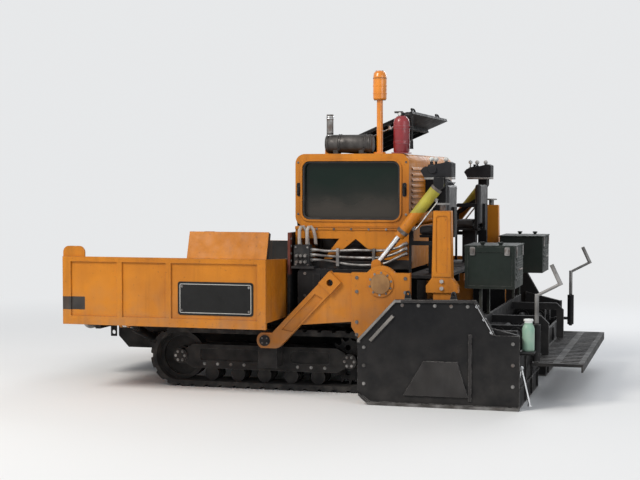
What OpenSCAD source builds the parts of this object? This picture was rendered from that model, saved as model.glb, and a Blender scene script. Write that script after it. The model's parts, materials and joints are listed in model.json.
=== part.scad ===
// Tracked asphalt paver of the eight foot class, built from its real pieces.
// Millimetres. +X points forward, +Y to the left and +Z up.
// The origin is on the ground, under the middle of the whole machine.

/* [Overall] */
// Rear edge of the walkway behind the origin
rear_reach = 2180; // [2150:10:2300]
// Front of the push rollers ahead of the origin
front_reach = 2180; // [2170:10:2300]
// Outer width over the hopper sides
machine_w = 3200; // [3180:10:3300]
// Height of the beacon's top
machine_h = 2600; // [2450:10:2800]

/* [Tracks] */
// Distance between the middles of the two tracks
track_gauge = 1860; // [1840:5:1880]
// Width of a track shoe
shoe_w = 300; // [260:5:310]
// Height of a track over its shoes
track_h = 500; // [460:5:505]
// Thickness of chain and shoe together
track_t = 50; // [40:1:60]
// Place of the rear track axle
track_rear_x = -310; // [-320:5:-200]
// Place of the front track axle
track_front_x = 1150; // [1000:10:1200]
// Height of the rubber pad on a shoe
pad_t = 18; // [10:1:24]
// Number of shoes on a track
shoe_count = 36; // [28:1:40]

/* [Main frame] */
// Half width inside the frame's side plates
tunnel_half = 440; // [430:5:445]
// Thickness of a frame side plate
frame_t = 25; // [16:1:25]
// Lower edge of the frame
frame_low = 230; // [210:5:240]
// Upper edge of the frame beside the hopper
frame_top = 585; // [575:1:590]
// Rear end of the frame
frame_rear_x = -560; // [-570:5:-540]

/* [Conveyor] */
// Height of the running face of the conveyor floor
conveyor_z = 500; // [480:5:505]
// Radius of the drums that turn the slat chains
drum_r = 70; // [60:1:75]
// Thickness of a chain strand
strand_t = 15; // [12:1:18]
// Distance between two slats
slat_pitch = 200; // [150:10:300]

/* [Hopper] */
// Rear end of the hopper wings
hopper_rear_x = 220; // [215:1:240]
// Front end of the hopper wings
hopper_front_x = 1950; // [1850:10:1950]
// Upper edge of the hopper sides
hopper_top = 1100; // [1000:10:1150]
// Lower edge of the hopper sides
hopper_low = 550; // [530:5:580]
// Thickness of the hopper plates
hopper_t = 16; // [10:1:20]
// Height of the hopper wing hinge
wing_hinge_z = 600; // [595:1:610]

/* [Engine housing] */
// Front face of the housing
hood_front_x = 170; // [100:5:170]
// Rear face of the housing
hood_rear_x = -780; // [-780:5:-700]
// Half width of the housing
hood_half = 960; // [900:10:1000]
// Lower edge of the housing
hood_low = 1340; // [1300:10:1360]
// Top of the housing
hood_top = 1930; // [1880:10:1960]
// Thickness of the housing walls
hood_t = 40; // [25:1:50]
// Angle at which the lid stands open
lid_open = 23; // [5:1:40]

/* [Operator station] */
// Height of the deck's upper face
deck_z = 965; // [960:1:980]
// Rear edge of the deck
deck_rear_x = -1100; // [-1110:5:-1080]

/* [Tow arms] */
// Place of the tow point
tow_x = 330; // [300:5:360]
// Height of the tow point
tow_z = 430; // [420:5:440]
// Thickness of a tow arm
arm_t = 60; // [40:1:62]
// Depth of the tow arm's beam
arm_h = 124; // [100:2:130]

/* [Auger] */
// Place of the auger shaft
auger_x = -740; // [-745:1:-735]
// Height of the auger shaft
auger_z = 330; // [320:5:340]
// Radius of the auger flights
auger_r = 160; // [140:1:165]
// Pitch of the auger flights
auger_pitch = 320; // [240:10:400]

/* [Screed] */
// Half width of the main screed
screed_half = 1220; // [1220:1:1240]
// Front face of the main screed
screed_front_x = -950; // [-960:5:-940]
// Rear face of the main screed
screed_rear_x = -1400; // [-1405:1:-1390]
// Height of the main screed
screed_h = 470; // [440:5:470]
// Width that an extension stands out in the photographed place
extension_out = 320; // [300:5:340]

/* [Hidden] */
$fn = 48;
gap = 0.3;
front_x = front_reach;
rear_x = -rear_reach;
half_w = machine_w / 2;

track_y = track_gauge / 2;
track_r = track_h / 2;
track_in_r = track_r - track_t;
track_outer_y = track_y + shoe_w / 2;

drum_z = conveyor_z - drum_r;
drum_rear_x = frame_rear_x + 95;
drum_front_x = 1850;
chain_top = conveyor_z + strand_t;

bulkhead_x = hopper_rear_x - 40;
bulkhead_t = 20;
wing_hinge_y = tunnel_half + frame_t + 35;
hinge_r = 18;
knuckle_r = 30;

cylinder_y = 1135;
lift_top = [-1060, cylinder_y, 1680];
lift_eye = [-560, cylinder_y, 1050];
lift_barrel_r = 46;
lift_rod_r = 22;
eye_r = 34;
eye_t = 36;
pin_r = 14;

wing_cyl_x = 1600;
wing_cyl_foot = [wing_cyl_x, 530, 330];
wing_cyl_eye = [wing_cyl_x, 1150, 520];
wing_barrel_r = 38;
wing_rod_r = 16;

arm_y = screed_half;
arm_out_y = arm_y + arm_t;
gate_y = screed_half + extension_out;
gate_t = 35;
roller_r = 75;
beam_t = 50;
beam_x = front_x - 2 * roller_r - 15 - beam_t;
roller_x = front_x - roller_r;
roller_z = 495;
hood_lid_x = -40;
hood_lid_z = hood_top + 25;

// Box between pairs of low and high values
module block(x, y, z) {
  translate([x[0], y[0], z[0]]) cube([x[1] - x[0], y[1] - y[0], z[1] - z[0]]);
}

// Outline drawn in X and Z, as thick as the span of Y
module side_plate(y) {
  translate([0, y[1], 0]) rotate([90, 0, 0]) linear_extrude(y[1] - y[0]) children();
}

// Outline drawn in Y and Z, as thick as the span of X
module cross_plate(x) {
  translate([x[0], 0, 0]) rotate([90, 0, 90]) linear_extrude(x[1] - x[0]) children();
}

// Round bar along Y
module bar_y(x, z, y, r) {
  translate([x, y[0], z]) rotate([-90, 0, 0]) cylinder(h = y[1] - y[0], r = r);
}

// Round bar along X
module bar_x(y, z, x, r) {
  translate([x[0], y, z]) rotate([0, 90, 0]) cylinder(h = x[1] - x[0], r = r);
}

// Rectangle with round corners between pairs of low and high values
module round_rect(x, z, r) {
  translate([x[0] + r, z[0]]) square([x[1] - x[0] - 2 * r, z[1] - z[0]]);
  translate([x[0], z[0] + r]) square([x[1] - x[0], z[1] - z[0] - 2 * r]);
  for (cx = [x[0] + r, x[1] - r], cz = [z[0] + r, z[1] - r])
    translate([cx, cz]) circle(r);
}

// Puts what runs along +Z from 0 on the line from p to q
module aim(p, q) {
  d = q - p;
  translate(p) rotate([0, acos(d[2] / norm(d)), atan2(d[1], d[0])]) children();
}

// The piece and its mirror image on the other side
module both_sides() {
  children();
  mirror([0, 1, 0]) children();
}

// Tube swept along points, with a regular outline
function unit(v) = v / norm(v);
function tangent(p, i) = unit(p[min(i + 1, len(p) - 1)] - p[max(i - 1, 0)]);
function frame_side(t, up) = unit(cross(t, up));
module swept_tube(path, r, sides, up) {
  n = len(path);
  points = [
    for (i = [0 : n - 1])
      let (t = tangent(path, i), a = frame_side(t, up), b = cross(t, a))
        for (k = [0 : sides - 1])
          path[i] + r * (cos(360 * k / sides) * a + sin(360 * k / sides) * b)
  ];
  walls = [
    for (i = [0 : n - 2], k = [0 : sides - 1])
      let (m = (k + 1) % sides)
        [i * sides + k, (i + 1) * sides + k, (i + 1) * sides + m, i * sides + m]
  ];
  first = [for (k = [0 : sides - 1]) k];
  last = [for (k = [sides - 1 : -1 : 0]) (n - 1) * sides + k];
  polyhedron(points, concat([first], walls, [last]));
}

// Hydraulic barrel from its foot at p towards the eye at q
module cylinder_barrel(p, q, r, rod_r, length) {
  aim(p, q) {
    difference() {
      union() {
        bar_y(0, 0, [-eye_t / 2, eye_t / 2], eye_r);
        translate([0, 0, 20]) cylinder(h = 40, r = eye_t / 2 + 2);
        translate([0, 0, 50]) cylinder(h = length - 50, r = r);
        translate([0, 0, length]) cylinder(h = 30, r = r * 0.86);
      }
      translate([0, 0, 90]) cylinder(h = length, r = rod_r + gap);
      bar_y(0, 0, [-eye_t, eye_t], pin_r + gap);
    }
  }
}

// Hydraulic rod that ends in its eye at q
module cylinder_rod(p, q, rod_r, inner) {
  reach = norm(q - p);
  aim(p, q) {
    translate([0, 0, inner]) cylinder(h = reach - inner - 8, r = rod_r);
    bar_y(0, reach, [-eye_t / 2, eye_t / 2], eye_r);
  }
}

// Loop of a band round two axles of one height, from its rear to its front axle
module loop_outline(x0, x1, z, r) {
  translate([x0, z]) circle(r);
  translate([x1, z]) circle(r);
  translate([x0, z - r]) square([x1 - x0, 2 * r]);
}

// Point and direction at a distance along the middle of a track's loop
track_span = track_front_x - track_rear_x;
track_loop_r = track_r - pad_t;
track_length = 2 * track_span + 2 * PI * track_loop_r;
function track_place(s) =
  s < track_span ? [[track_rear_x + s, track_r - track_loop_r], 0]
  : s < track_span + PI * track_loop_r
    ? let (a = (s - track_span) / track_loop_r * 180 / PI)
      [[track_front_x + track_loop_r * sin(a), track_r - track_loop_r * cos(a)], a]
  : s < 2 * track_span + PI * track_loop_r
    ? [[track_front_x - (s - track_span - PI * track_loop_r), track_r + track_loop_r],
       180]
  : let (a = (s - 2 * track_span - PI * track_loop_r) / track_loop_r * 180 / PI)
    [[track_rear_x - track_loop_r * sin(a), track_r + track_loop_r * cos(a)], 180 + a];

// Chain loop with a rubber pad on each shoe
module track() {
  color("dimgray") side_plate([track_y - shoe_w / 2, track_outer_y])
    difference() {
      intersection() {
        loop_outline(track_rear_x, track_front_x, track_r, track_r);
        union() {
        loop_outline(track_rear_x, track_front_x, track_r, track_loop_r);
        for (i = [0 : shoe_count - 1]) {
          place = track_place((i + 0.5) * track_length / shoe_count);
          pad_w = track_length / shoe_count * 0.78;
          translate(place[0]) rotate(place[1])
            polygon([[-pad_w / 2, 4], [-pad_w / 2 + 6, -pad_t],
              [pad_w / 2 - 6, -pad_t], [pad_w / 2, 4]]);
        }
        }
      }
      loop_outline(track_rear_x, track_front_x, track_r, track_in_r);
    }
}
module track_left() { track(); }
module track_right() { mirror([0, 1, 0]) track(); }

// Track frame with its sprocket, idler and rollers, and the tow point's bracket
rail_y = [track_y - 100, track_y + 100];
module track_frame() {
  color("dimgray") {
    block([track_rear_x + 40, track_front_x - 40], rail_y, [150, 350]);
    for (x = [track_rear_x, track_front_x])
      difference() {
        bar_y(x, track_r, [track_y - 60, track_y + 60], track_in_r - gap);
        bar_y(x, track_r, [track_y + 30, track_y + 61], track_in_r - 40);
      }
    for (x = [track_rear_x, track_front_x])
      bar_y(x, track_r, [rail_y[0], rail_y[1] + 20], 60);
    for (x = [track_rear_x + 270 : 230 : track_front_x - 250])
      bar_y(x, track_t + 60 + gap, [track_y - 90, track_y + 90], 60);
    bar_y(tow_x, track_h - track_t - 42 - gap, [track_y - 90, track_y + 90], 42);
    block([tow_x - 20, tow_x + 20], [track_y - 60, track_y + 60], [340, 400]);
    block([tow_x - 80, tow_x + 80], [rail_y[1], track_outer_y + 10], [200, 380]);
    side_plate([track_outer_y + 10, arm_y - 8])
      union() {
        translate([tow_x, tow_z]) circle(75);
        translate([tow_x - 80, 200]) square([160, tow_z - 200]);
      }
    bar_y(tow_x, tow_z, [arm_y - 10, arm_out_y + 12], 30);
    bar_y(tow_x, tow_z, [arm_out_y + 5, arm_out_y + 15], 45);
  }
}
module track_frame_left() { track_frame(); }
module track_frame_right() { mirror([0, 1, 0]) track_frame(); }

// Two side plates with cross members, the tunnel roof and the wing hinge rods
frame_out = tunnel_half + frame_t;
hinge_places = [300, 800, 1300, 1800];
module main_frame() {
  color("#303236") {
    both_sides() {
      side_plate([tunnel_half, frame_out])
        polygon([[frame_rear_x, frame_low], [1870, frame_low], [beam_x, 330],
          [beam_x, frame_top], [bulkhead_x - 5, frame_top],
          [bulkhead_x - 5, 1000], [frame_rear_x, 1000]]);
      for (x = [100, 800])
        block([x - 60, x + 60], [frame_out, rail_y[0]], [200, 320]);
      bar_x(wing_hinge_y, wing_hinge_z, [260, 1900], hinge_r);
      for (x = hinge_places)
        difference() {
          union() {
            bar_x(wing_hinge_y, wing_hinge_z, [x, x + 60], knuckle_r);
            block([x, x + 60], [frame_out - 5, wing_hinge_y], [545, wing_hinge_z]);
          }
          bar_x(wing_hinge_y, wing_hinge_z, [x + 1, x + 59], hinge_r - 1);
        }
      bar_x(wing_cyl_foot[1], wing_cyl_foot[2], [wing_cyl_x - 30, wing_cyl_x + 30],
        pin_r);
      for (x = [wing_cyl_x - 40, wing_cyl_x + 25])
        cross_plate([x, x + 15])
          union() {
            translate([wing_cyl_foot[1], wing_cyl_foot[2]]) circle(38);
            translate([frame_out, wing_cyl_foot[2] - 38])
              square([wing_cyl_foot[1] - frame_out, 76]);
          }
      block([frame_rear_x - 540, frame_rear_x], [tunnel_half, frame_out], [880, 940]);
    }
    for (x = [-400, 400, 1200, 1800])
      block([x, x + 60], [-tunnel_half, tunnel_half], [frame_low + 5, frame_low + 65]);
    block([frame_rear_x, bulkhead_x - 5], [-tunnel_half, tunnel_half], [860, 880]);
  }
}

// Wear floor between the two runs of the chains, with the divider between them
module conveyor_floor() {
  color("#5a5c5e") {
    block([drum_rear_x + 75, drum_front_x - 75], [-tunnel_half, tunnel_half],
      [conveyor_z - 20, conveyor_z - gap]);
    block([drum_rear_x + 75, drum_front_x - 75], [-10, 10],
      [conveyor_z - 20, frame_top]);
    block([drum_front_x + 20, beam_x], [-tunnel_half, tunnel_half],
      [chain_top + 8, chain_top + 20]);
  }
}

// Two slat conveyors, each with two strands, its slats and its drums
module slat_chain() {
  span = [25, tunnel_half - 15];
  for (y = [span[0], span[1] - 30])
    side_plate([y, y + 30])
      difference() {
        loop_outline(drum_rear_x, drum_front_x, drum_z, drum_r + strand_t);
        loop_outline(drum_rear_x, drum_front_x, drum_z, drum_r);
      }
  for (x = [drum_rear_x, drum_front_x])
    bar_y(x, drum_z, span, drum_r + 1);
  for (x = [drum_rear_x + 20 : slat_pitch : drum_front_x - 40], top = [0, 1])
    block([x, x + 40], span,
      top ? [conveyor_z, chain_top + 12]
        : [drum_z - drum_r - strand_t - 12, drum_z - drum_r]);
}
module slat_chains() { color("#4a4a4c") both_sides() slat_chain(); }

// Front wall of the tractor with the two mouths over the conveyors
module bulkhead() {
  color("#26282a") cross_plate([bulkhead_x, bulkhead_x + bulkhead_t])
    difference() {
      translate([-1080, frame_top + gap]) square([2160, 1290 - frame_top]);
      for (y = [20, -tunnel_half + 10])
        translate([y, frame_top]) square([tunnel_half - 30, 245]);
    }
}

// Push beam with the ears of the two rollers
module push_beam() {
  color("#303236") {
    block([beam_x, beam_x + beam_t], [-850, 850], [430, 560]);
    both_sides() for (y = [120, 765])
      side_plate([y, y + 20])
        difference() {
          union() {
            translate([roller_x, roller_z]) circle(45);
            translate([beam_x + beam_t - 1, roller_z - 45])
              square([roller_x - beam_x - beam_t, 90]);
          }
          translate([roller_x, roller_z]) circle(20 + gap);
        }
  }
}

// Push roller with its own shaft
module push_roller() {
  color("#8a8c8e") {
    bar_y(roller_x, roller_z, [150, 755], roller_r);
    bar_y(roller_x, roller_z, [112, 793], 20);
  }
}
module push_roller_left() { push_roller(); }
module push_roller_right() { mirror([0, 1, 0]) push_roller(); }

// Hopper wing: floor, outer side, end walls, rear guard and front ear
module hopper_wing() {
  side_y = [half_w - hopper_t, half_w];
  floor_z = [wing_hinge_z, wing_hinge_z + hopper_t];
  color("#e08a10") {
    block([hopper_rear_x, hopper_front_x], [wing_hinge_y + 35, half_w], floor_z);
    block([hopper_rear_x, hopper_front_x], side_y, [hopper_low, hopper_top]);
    cross_plate([hopper_rear_x, hopper_rear_x + hopper_t])
      polygon([[wing_hinge_y + 35, floor_z[0]], [half_w, floor_z[0]],
        [half_w, hopper_top], [wing_hinge_y + 35, hopper_top - 50]]);
    cross_plate([hopper_front_x - hopper_t, hopper_front_x])
      polygon([[wing_hinge_y + 35, floor_z[0]], [half_w, floor_z[0]],
        [half_w, hopper_top], [half_w - 120, 900], [wing_hinge_y + 35, 760]]);
    cross_plate([hopper_rear_x, hopper_rear_x + 660])
      polygon([[half_w - hopper_t, hopper_top - 20], [half_w, hopper_top - 20],
        [half_w, hopper_top], [half_w - 85, hopper_top + 210],
        [half_w - 85 - hopper_t, hopper_top + 205]]);
    block([hopper_front_x - 190, hopper_front_x], side_y, [hopper_top, 1185]);
    for (x = hinge_places)
      difference() {
        union() {
          bar_x(wing_hinge_y, wing_hinge_z, [x + 70, x + 170], knuckle_r);
          block([x + 70, x + 170], [wing_hinge_y, wing_hinge_y + 60], floor_z);
        }
        bar_x(wing_hinge_y, wing_hinge_z, [x + 69, x + 171], hinge_r + gap);
      }
    for (x = [wing_cyl_x - 40, wing_cyl_x + 25])
      cross_plate([x, x + 15])
        union() {
          translate([wing_cyl_eye[1], wing_cyl_eye[2]]) circle(38);
          translate([wing_cyl_eye[1] - 38, wing_cyl_eye[2]])
            square([76, floor_z[0] - wing_cyl_eye[2] + 1]);
        }
  }
}
module hopper_wing_left() { hopper_wing(); }
module hopper_wing_right() { mirror([0, 1, 0]) hopper_wing(); }

// Cylinders that fold the wings
module wing_barrel() {
  color("#303236")
    cylinder_barrel(wing_cyl_foot, wing_cyl_eye, wing_barrel_r, wing_rod_r, 430);
}
module wing_rod() {
  color("#c8cacc") cylinder_rod(wing_cyl_foot, wing_cyl_eye, wing_rod_r, 110);
}
module wing_barrel_left() { wing_barrel(); }
module wing_barrel_right() { mirror([0, 1, 0]) wing_barrel(); }
module wing_rod_left() { wing_rod(); }
module wing_rod_right() { mirror([0, 1, 0]) wing_rod(); }

// Engine as one plain block on the tunnel roof
module engine_block() {
  color("#3a3c3e") block([-420, 100], [-380, 380], [1018 + gap, 1560]);
}

// Deck over the frame with the cut panels below the housing
module bay_panels() {
  color("#e08a10") {
    block([hood_rear_x, hood_front_x], [-hood_half, hood_half], [1000, 1018]);
    both_sides() side_plate([hood_half - 20, hood_half])
      difference() {
        translate([hood_rear_x, 1017])
          square([hood_front_x - hood_rear_x, hood_low - 1017]);
        polygon([[-560, 1060], [-120, 1060], [-340, 1240]]);
        polygon([[-60, 1060], [120, 1060], [120, 1240], [-200, 1240]]);
      }
    for (x = [hood_rear_x, hood_front_x - 12])
      block([x, x + 12], [-hood_half + 20, hood_half - 20], [1017, hood_low]);
  }
}

// Housing shell with its side windows and the opening under the lid
module engine_hood() {
  x = [hood_rear_x, hood_front_x];
  z = [hood_low, hood_top];
  color("#e08a10") both_sides() for (y = [565, 710])
    difference() {
      block([hood_lid_x - 20, hood_lid_x + 20], [y, y + 25],
        [hood_top - 5, hood_lid_z + 15]);
      bar_y(hood_lid_x, hood_lid_z, [y - 1, y + 26], 10 + gap);
    }
  color("#e08a10") difference() {
    side_plate([-hood_half, hood_half]) round_rect(x, z, 80);
    side_plate([-hood_half + hood_t, hood_half - hood_t])
      round_rect([x[0] + hood_t, x[1] - hood_t], [z[0] - 100, z[1] - hood_t], 60);
    side_plate([-hood_half - 1, hood_half + 1])
      round_rect([x[0] + 75, x[1] - 60], [z[0] + 55, z[1] - 60], 60);
    block([x[0] + 60, hood_lid_x - 30], [-740, 740], [z[1] - hood_t - 20, z[1] + 1]);
  }
}

// Dark mesh panels behind the side windows
module hood_grilles() {
  x = [hood_rear_x, hood_front_x];
  color("#202422") both_sides()
    side_plate([hood_half - hood_t - 12, hood_half - hood_t - gap])
      round_rect([x[0] + 50, x[1] - 50], [hood_low + 40, hood_top - 50], 50);
}

// Lid of the housing, propped open to the rear
module hood_lid() {
  color("#1c1e20") translate([hood_lid_x, 0, hood_lid_z]) rotate([0, lid_open, 0]) {
    block([hood_rear_x - 50 - hood_lid_x, -36], [-780, 780], [-10, 14]);
    both_sides() block([-40, 0], [602, 698], [-8, 8]);
    both_sides() bar_y(0, 0, [602, 698], 16);
    both_sides() bar_y(0, 0, [560, 740], 10);
  }
}

// Fuel and oil tanks over the tracks
module side_tanks() {
  color("#26282a") both_sides()
    side_plate([frame_out + 20, track_outer_y - 20])
      round_rect([frame_rear_x + 30, 120], [track_h + 60, 1000 - gap], 40);
}

// Valve stack and looping hoses at the front left of the housing
module hydraulic_hoses() {
  color("#26282a") {
    both_sides() block([20, 150], [985, 1070], [1018, 1190]);
    both_sides() block([-20, 170], [hood_half, 1080], [1000, 1018]);
    for (x = [50, 115])
      swept_tube([[x, 1030, 1185], [x, 1030, 1260], [x, 1026, 1310],
        [x - 8, 1015, 1335], [x - 25, 1002, 1338], [x - 45, 992, 1310],
        [x - 55, 985, 1260], [x - 58, 975, 1200], [x - 58, 961, 1190]],
        14, 8, [1, 0.2, 0]);
  }
}

// Deck, its cheeks and the posts that carry the lift cylinders
module operator_deck() {
  color("#303236") {
    block([deck_rear_x, hood_rear_x - 5], [-1080, 1080], [940, deck_z]);
    both_sides() {
      block([deck_rear_x, deck_rear_x + 80], [1020, 1080], [deck_z - 1, 1740]);
      block([deck_rear_x, deck_rear_x + 80], [1079, 1175],
        [lift_top[2] + eye_r + 12, 1740]);
      bar_y(lift_top[0], lift_top[2], [cylinder_y - 30, cylinder_y + 30], pin_r);
      for (y = [cylinder_y - 40, cylinder_y + 22])
        side_plate([y, y + 18])
          union() {
            translate([lift_top[0], lift_top[2]]) circle(40);
            translate([lift_top[0] - 40, lift_top[2]]) square([80, 50]);
          }
    }
  }
}

// Console on the rear of the housing
module console() {
  color("#26282a") side_plate([-300, 300])
    polygon([[hood_rear_x - gap, 1500], [hood_rear_x - gap, 1760],
      [hood_rear_x - 60, 1780], [hood_rear_x - 170, 1640], [hood_rear_x - 150, 1600]]);
}

// Pedestals of the two seats
seat_y = [600, 1000];
seat_x = [deck_rear_x - 10, -860];
module seat_frames() {
  color("#26282a") both_sides() {
    block([-1040, -920], [740, 860], [deck_z, 1260]);
    block([seat_x[0] + 20, seat_x[1] - 10], [620, 980], [1259, 1280 - gap]);
    block([seat_x[0] - 20, seat_x[0]], [740, 860], [1259, 1500]);
    block([seat_x[0] - 20, seat_x[0] + 21], [740, 860], [1259, 1279]);
  }
}

// Cushion and back of a seat
module seat() {
  color("#18191b") {
    block([seat_x[0] + 60, seat_x[1]], seat_y, [1280, 1350]);
    block([seat_x[0] + gap, seat_x[0] + 55], seat_y, [1300, 1690]);
  }
}
module seat_left() { seat(); }
module seat_right() { mirror([0, 1, 0]) seat(); }

// Mast with the beacon on the housing's left edge
module beacon_mast() {
  color("#e08a10") translate([-520, 880, 0]) {
    translate([0, 0, hood_top]) cylinder(h = machine_h - 240 - hood_top, r = 25);
    translate([0, 0, machine_h - 241]) cylinder(h = 241, r = 55);
  }
}

// Fire extinguisher in its bracket behind the mast
module extinguisher() {
  color("#a01818") translate([-700, 880, hood_top]) {
    cylinder(h = 300, r = 65);
    translate([0, 0, 299]) cylinder(h = 40, r = 20);
  }
}

// Four lashing lugs, two under the push beam and two under the frame's rear
lug_r = 20;
rear_lug_x = -480;
rear_lug_y = frame_out - 12.5;
module tie_down_lugs() {
  color("#303236") both_sides() {
    side_plate([500, 525])
      difference() {
        translate([beam_x, 330]) square([beam_t, 100]);
        translate([beam_x + beam_t / 2, 365]) circle(lug_r);
      }
    cross_plate([rear_lug_x - 12.5, rear_lug_x + 12.5])
      difference() {
        translate([rear_lug_y - 50, 115]) square([100, frame_low - 115 - gap]);
        translate([rear_lug_y, 165]) circle(lug_r);
      }
  }
}

// Beam, hangers and drive case that carry the augers
hanger_y = screed_half - 35;
module auger_support() {
  color("#303236") {
    block([auger_x - 50, auger_x + 50], [-hanger_y - 15, hanger_y + 15], [560, 640]);
    both_sides() {
      block([auger_x + 49, frame_rear_x], [tunnel_half, frame_out], [560, 640]);
      side_plate([hanger_y, hanger_y + 15])
        difference() {
          union() {
            translate([auger_x, auger_z]) circle(60);
            translate([auger_x - 50, auger_z]) square([100, 561 - auger_z]);
          }
          translate([auger_x, auger_z]) circle(25 + gap);
        }
    }
    difference() {
      side_plate([-28, 28]) round_rect([auger_x - 60, auger_x + 60], [240, 561], 20);
      bar_y(auger_x, auger_z, [-30, 30], 25 + gap);
    }
  }
}

// Auger shaft with its two journals
module auger() {
  color("#6a6c6e") {
    bar_y(auger_x, auger_z, [33, hanger_y - 5], 38);
    bar_y(auger_x, auger_z, [10, hanger_y + 14], 25);
  }
}
module auger_left() { auger(); }
module auger_right() { mirror([0, 1, 0]) auger(); }

// Helical flight that stands on the shaft
module auger_flight() {
  y0 = 60;
  y1 = hanger_y - 25;
  steps_per_turn = 20;
  root_r = (38 + gap) / cos(180 / steps_per_turn);
  n = floor((y1 - y0) / auger_pitch * steps_per_turn);
  flight_t = 14;
  points = [
    for (i = [0 : n])
      let (a = 360 * i / steps_per_turn, y = y0 + auger_pitch * i / steps_per_turn)
        for (c = [[root_r, 0], [auger_r, 0], [auger_r, flight_t], [root_r, flight_t]])
          [auger_x + c[0] * cos(a), y + c[1], auger_z + c[0] * sin(a)]
  ];
  walls = [
    for (i = [0 : n - 1], k = [0 : 3], half = [0, 1])
      let (m = (k + 1) % 4, a = i * 4, b = a + 4)
        half ? [a + k, b + m, b + k] : [a + k, a + m, b + m]
  ];
  color("#6a6c6e") polyhedron(points,
    concat([[3, 2, 1, 0]], walls, [[n * 4, n * 4 + 1, n * 4 + 2, n * 4 + 3]]));
}
module auger_flight_left() { auger_flight(); }
module auger_flight_right() { mirror([0, 1, 0]) auger_flight(); }

// Tow arm: beam from the tow point, its knee and the plate to the screed
knee = [130, tow_z];
arm_top = [-385, 1000];
module arm_beam(p, q) {
  d = q - p;
  translate(p) rotate(atan2(d[1], d[0])) translate([0, -arm_h / 2])
    square([norm(d), arm_h]);
}
module tow_arm() {
  color("#e08a10") {
    side_plate([arm_y, arm_out_y])
      difference() {
        union() {
          arm_beam([tow_x, tow_z], knee);
          arm_beam(knee, arm_top);
          translate(knee) circle(arm_h / 2);
          translate([tow_x, tow_z]) circle(70);
          polygon([[-385, 1040], [-855, 1040], [-855, 760], [-1250, 760],
            [-1250, 430], [-470, 430], [-385, 560]]);
        }
        translate([tow_x, tow_z]) circle(30 + gap);
      }
    bar_y(-630, 920, [arm_out_y - 1, arm_out_y + 18], 105);
    for (y = [cylinder_y - 40, cylinder_y + 22])
      side_plate([y, y + 18])
        union() {
          translate([lift_eye[0], lift_eye[2]]) circle(40);
          translate([lift_eye[0] - 40, 960]) square([80, lift_eye[2] - 960]);
        }
    block([lift_eye[0] - 40, lift_eye[0] + 40], [cylinder_y - 40, arm_y + 1],
      [960, 1000]);
  }
}
module tow_arm_left() { tow_arm(); }
module tow_arm_right() { mirror([0, 1, 0]) tow_arm(); }

// Main screed with its cheeks, rear wall and the guide blocks of the extensions
tube_x = [-1480, -1620];
tube_z = 485;
tube_r = 35;
module screed_body() {
  color("#1e2022") {
    difference() {
      side_plate([-screed_half, screed_half])
        polygon([[screed_rear_x, 0], [screed_front_x - 50, 0],
          [screed_front_x - 5, 60], [screed_front_x, screed_h - 50],
          [screed_front_x - 50, screed_h], [screed_rear_x + 20, screed_h],
          [screed_rear_x + 20, 640], [screed_rear_x, 640]]);
      both_sides() block([screed_rear_x + 20, screed_front_x - 70],
        [15, screed_half - 30], [35, screed_h + 1]);
    }
    both_sides() {
      block([-1250, screed_front_x], [screed_half - 25, screed_half - gap],
        [screed_h - 1, 760]);
      for (y = [[730, 790], [1140, 1200]])
        difference() {
          block([-1680, screed_rear_x + 1], y, [410, 555]);
          for (x = tube_x)
            bar_y(x, tube_z, [y[0] - 1, y[1] + 1], tube_r + gap);
        }
    }
  }
}

// Heater boxes over the screed
module screed_boxes() {
  color("#22302a") both_sides() {
    block([-1660, -1270], [700, 1180], [876, 1200]);
    for (y = [720, 1120])
      block([screed_rear_x, screed_rear_x + 20], [y, y + 40], [640, 877]);
  }
}

// Thickness screw housings on the screed's ends
module depth_posts() {
  color("#e08a10") both_sides() {
    side_plate([arm_y - 5, arm_y + 75])
      polygon([[-1235, 845], [-1235, 900], [-1190, 960], [-1180, 1480],
        [-1040, 1480], [-1030, 960], [-985, 900], [-985, 845]]);
    block([-1180, -1040], [arm_y, arm_out_y], [760, 846]);
  }
}

// Walkway behind the screed on its two arms
module walkway() {
  color("#26282a") {
    block([rear_x, -1790], [-1150, 1150], [285, 310]);
    both_sides() side_plate([580, 620])
      polygon([[screed_rear_x, 560], [screed_rear_x, 620], [-1800, 620],
        [-1860, 560], [-1860, 309], [-1800, 309], [-1800, 560]]);
  }
}

// Cylinders that lift the screed
module lift_barrel() {
  color("#e08a10") cylinder_barrel(lift_top, lift_eye, lift_barrel_r, lift_rod_r, 490);
}
module lift_rod() { color("#c8cacc") cylinder_rod(lift_top, lift_eye, lift_rod_r, 130); }
module lift_barrel_left() { lift_barrel(); }
module lift_barrel_right() { mirror([0, 1, 0]) lift_barrel(); }
module lift_rod_left() { lift_rod(); }
module lift_rod_right() { mirror([0, 1, 0]) lift_rod(); }

// Sliding extension behind the main screed, with its guide tubes and end plate
module extension() {
  end_y = gate_y - 40;
  color("#1e2022") {
    difference() {
      side_plate([300, end_y + 1])
        polygon([[-1740, 0], [-1455, 0], [-1410, 60], [-1410, 395], [-1740, 395]]);
      block([-1720, -1435], [320, end_y - 20], [30, 396]);
    }
    side_plate([end_y, gate_y - gap])
      polygon([[-1740, 0], [-1410, 0], [-1410, 640], [-1740, 560]]);
    for (x = tube_x)
      bar_y(x, tube_z, [245, end_y + 1], tube_r);
  }
}
module extension_left() { extension(); }
module extension_right() { mirror([0, 1, 0]) extension(); }

// End gate with its ski
module end_gate() {
  color("#1e2022") {
    side_plate([gate_y, gate_y + gate_t])
      polygon([[-1750, 20], [-570, 20], [-510, 110], [-510, 500], [-800, 810],
        [-1410, 820], [-1470, 700], [-1750, 560]]);
    side_plate([gate_y, half_w])
      polygon([[-1750, 0], [-600, 0], [-520, 70], [-520, 90], [-610, 25],
        [-1750, 25]]);
  }
}
module end_gate_left() { end_gate(); }
module end_gate_right() { mirror([0, 1, 0]) end_gate(); }

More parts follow.
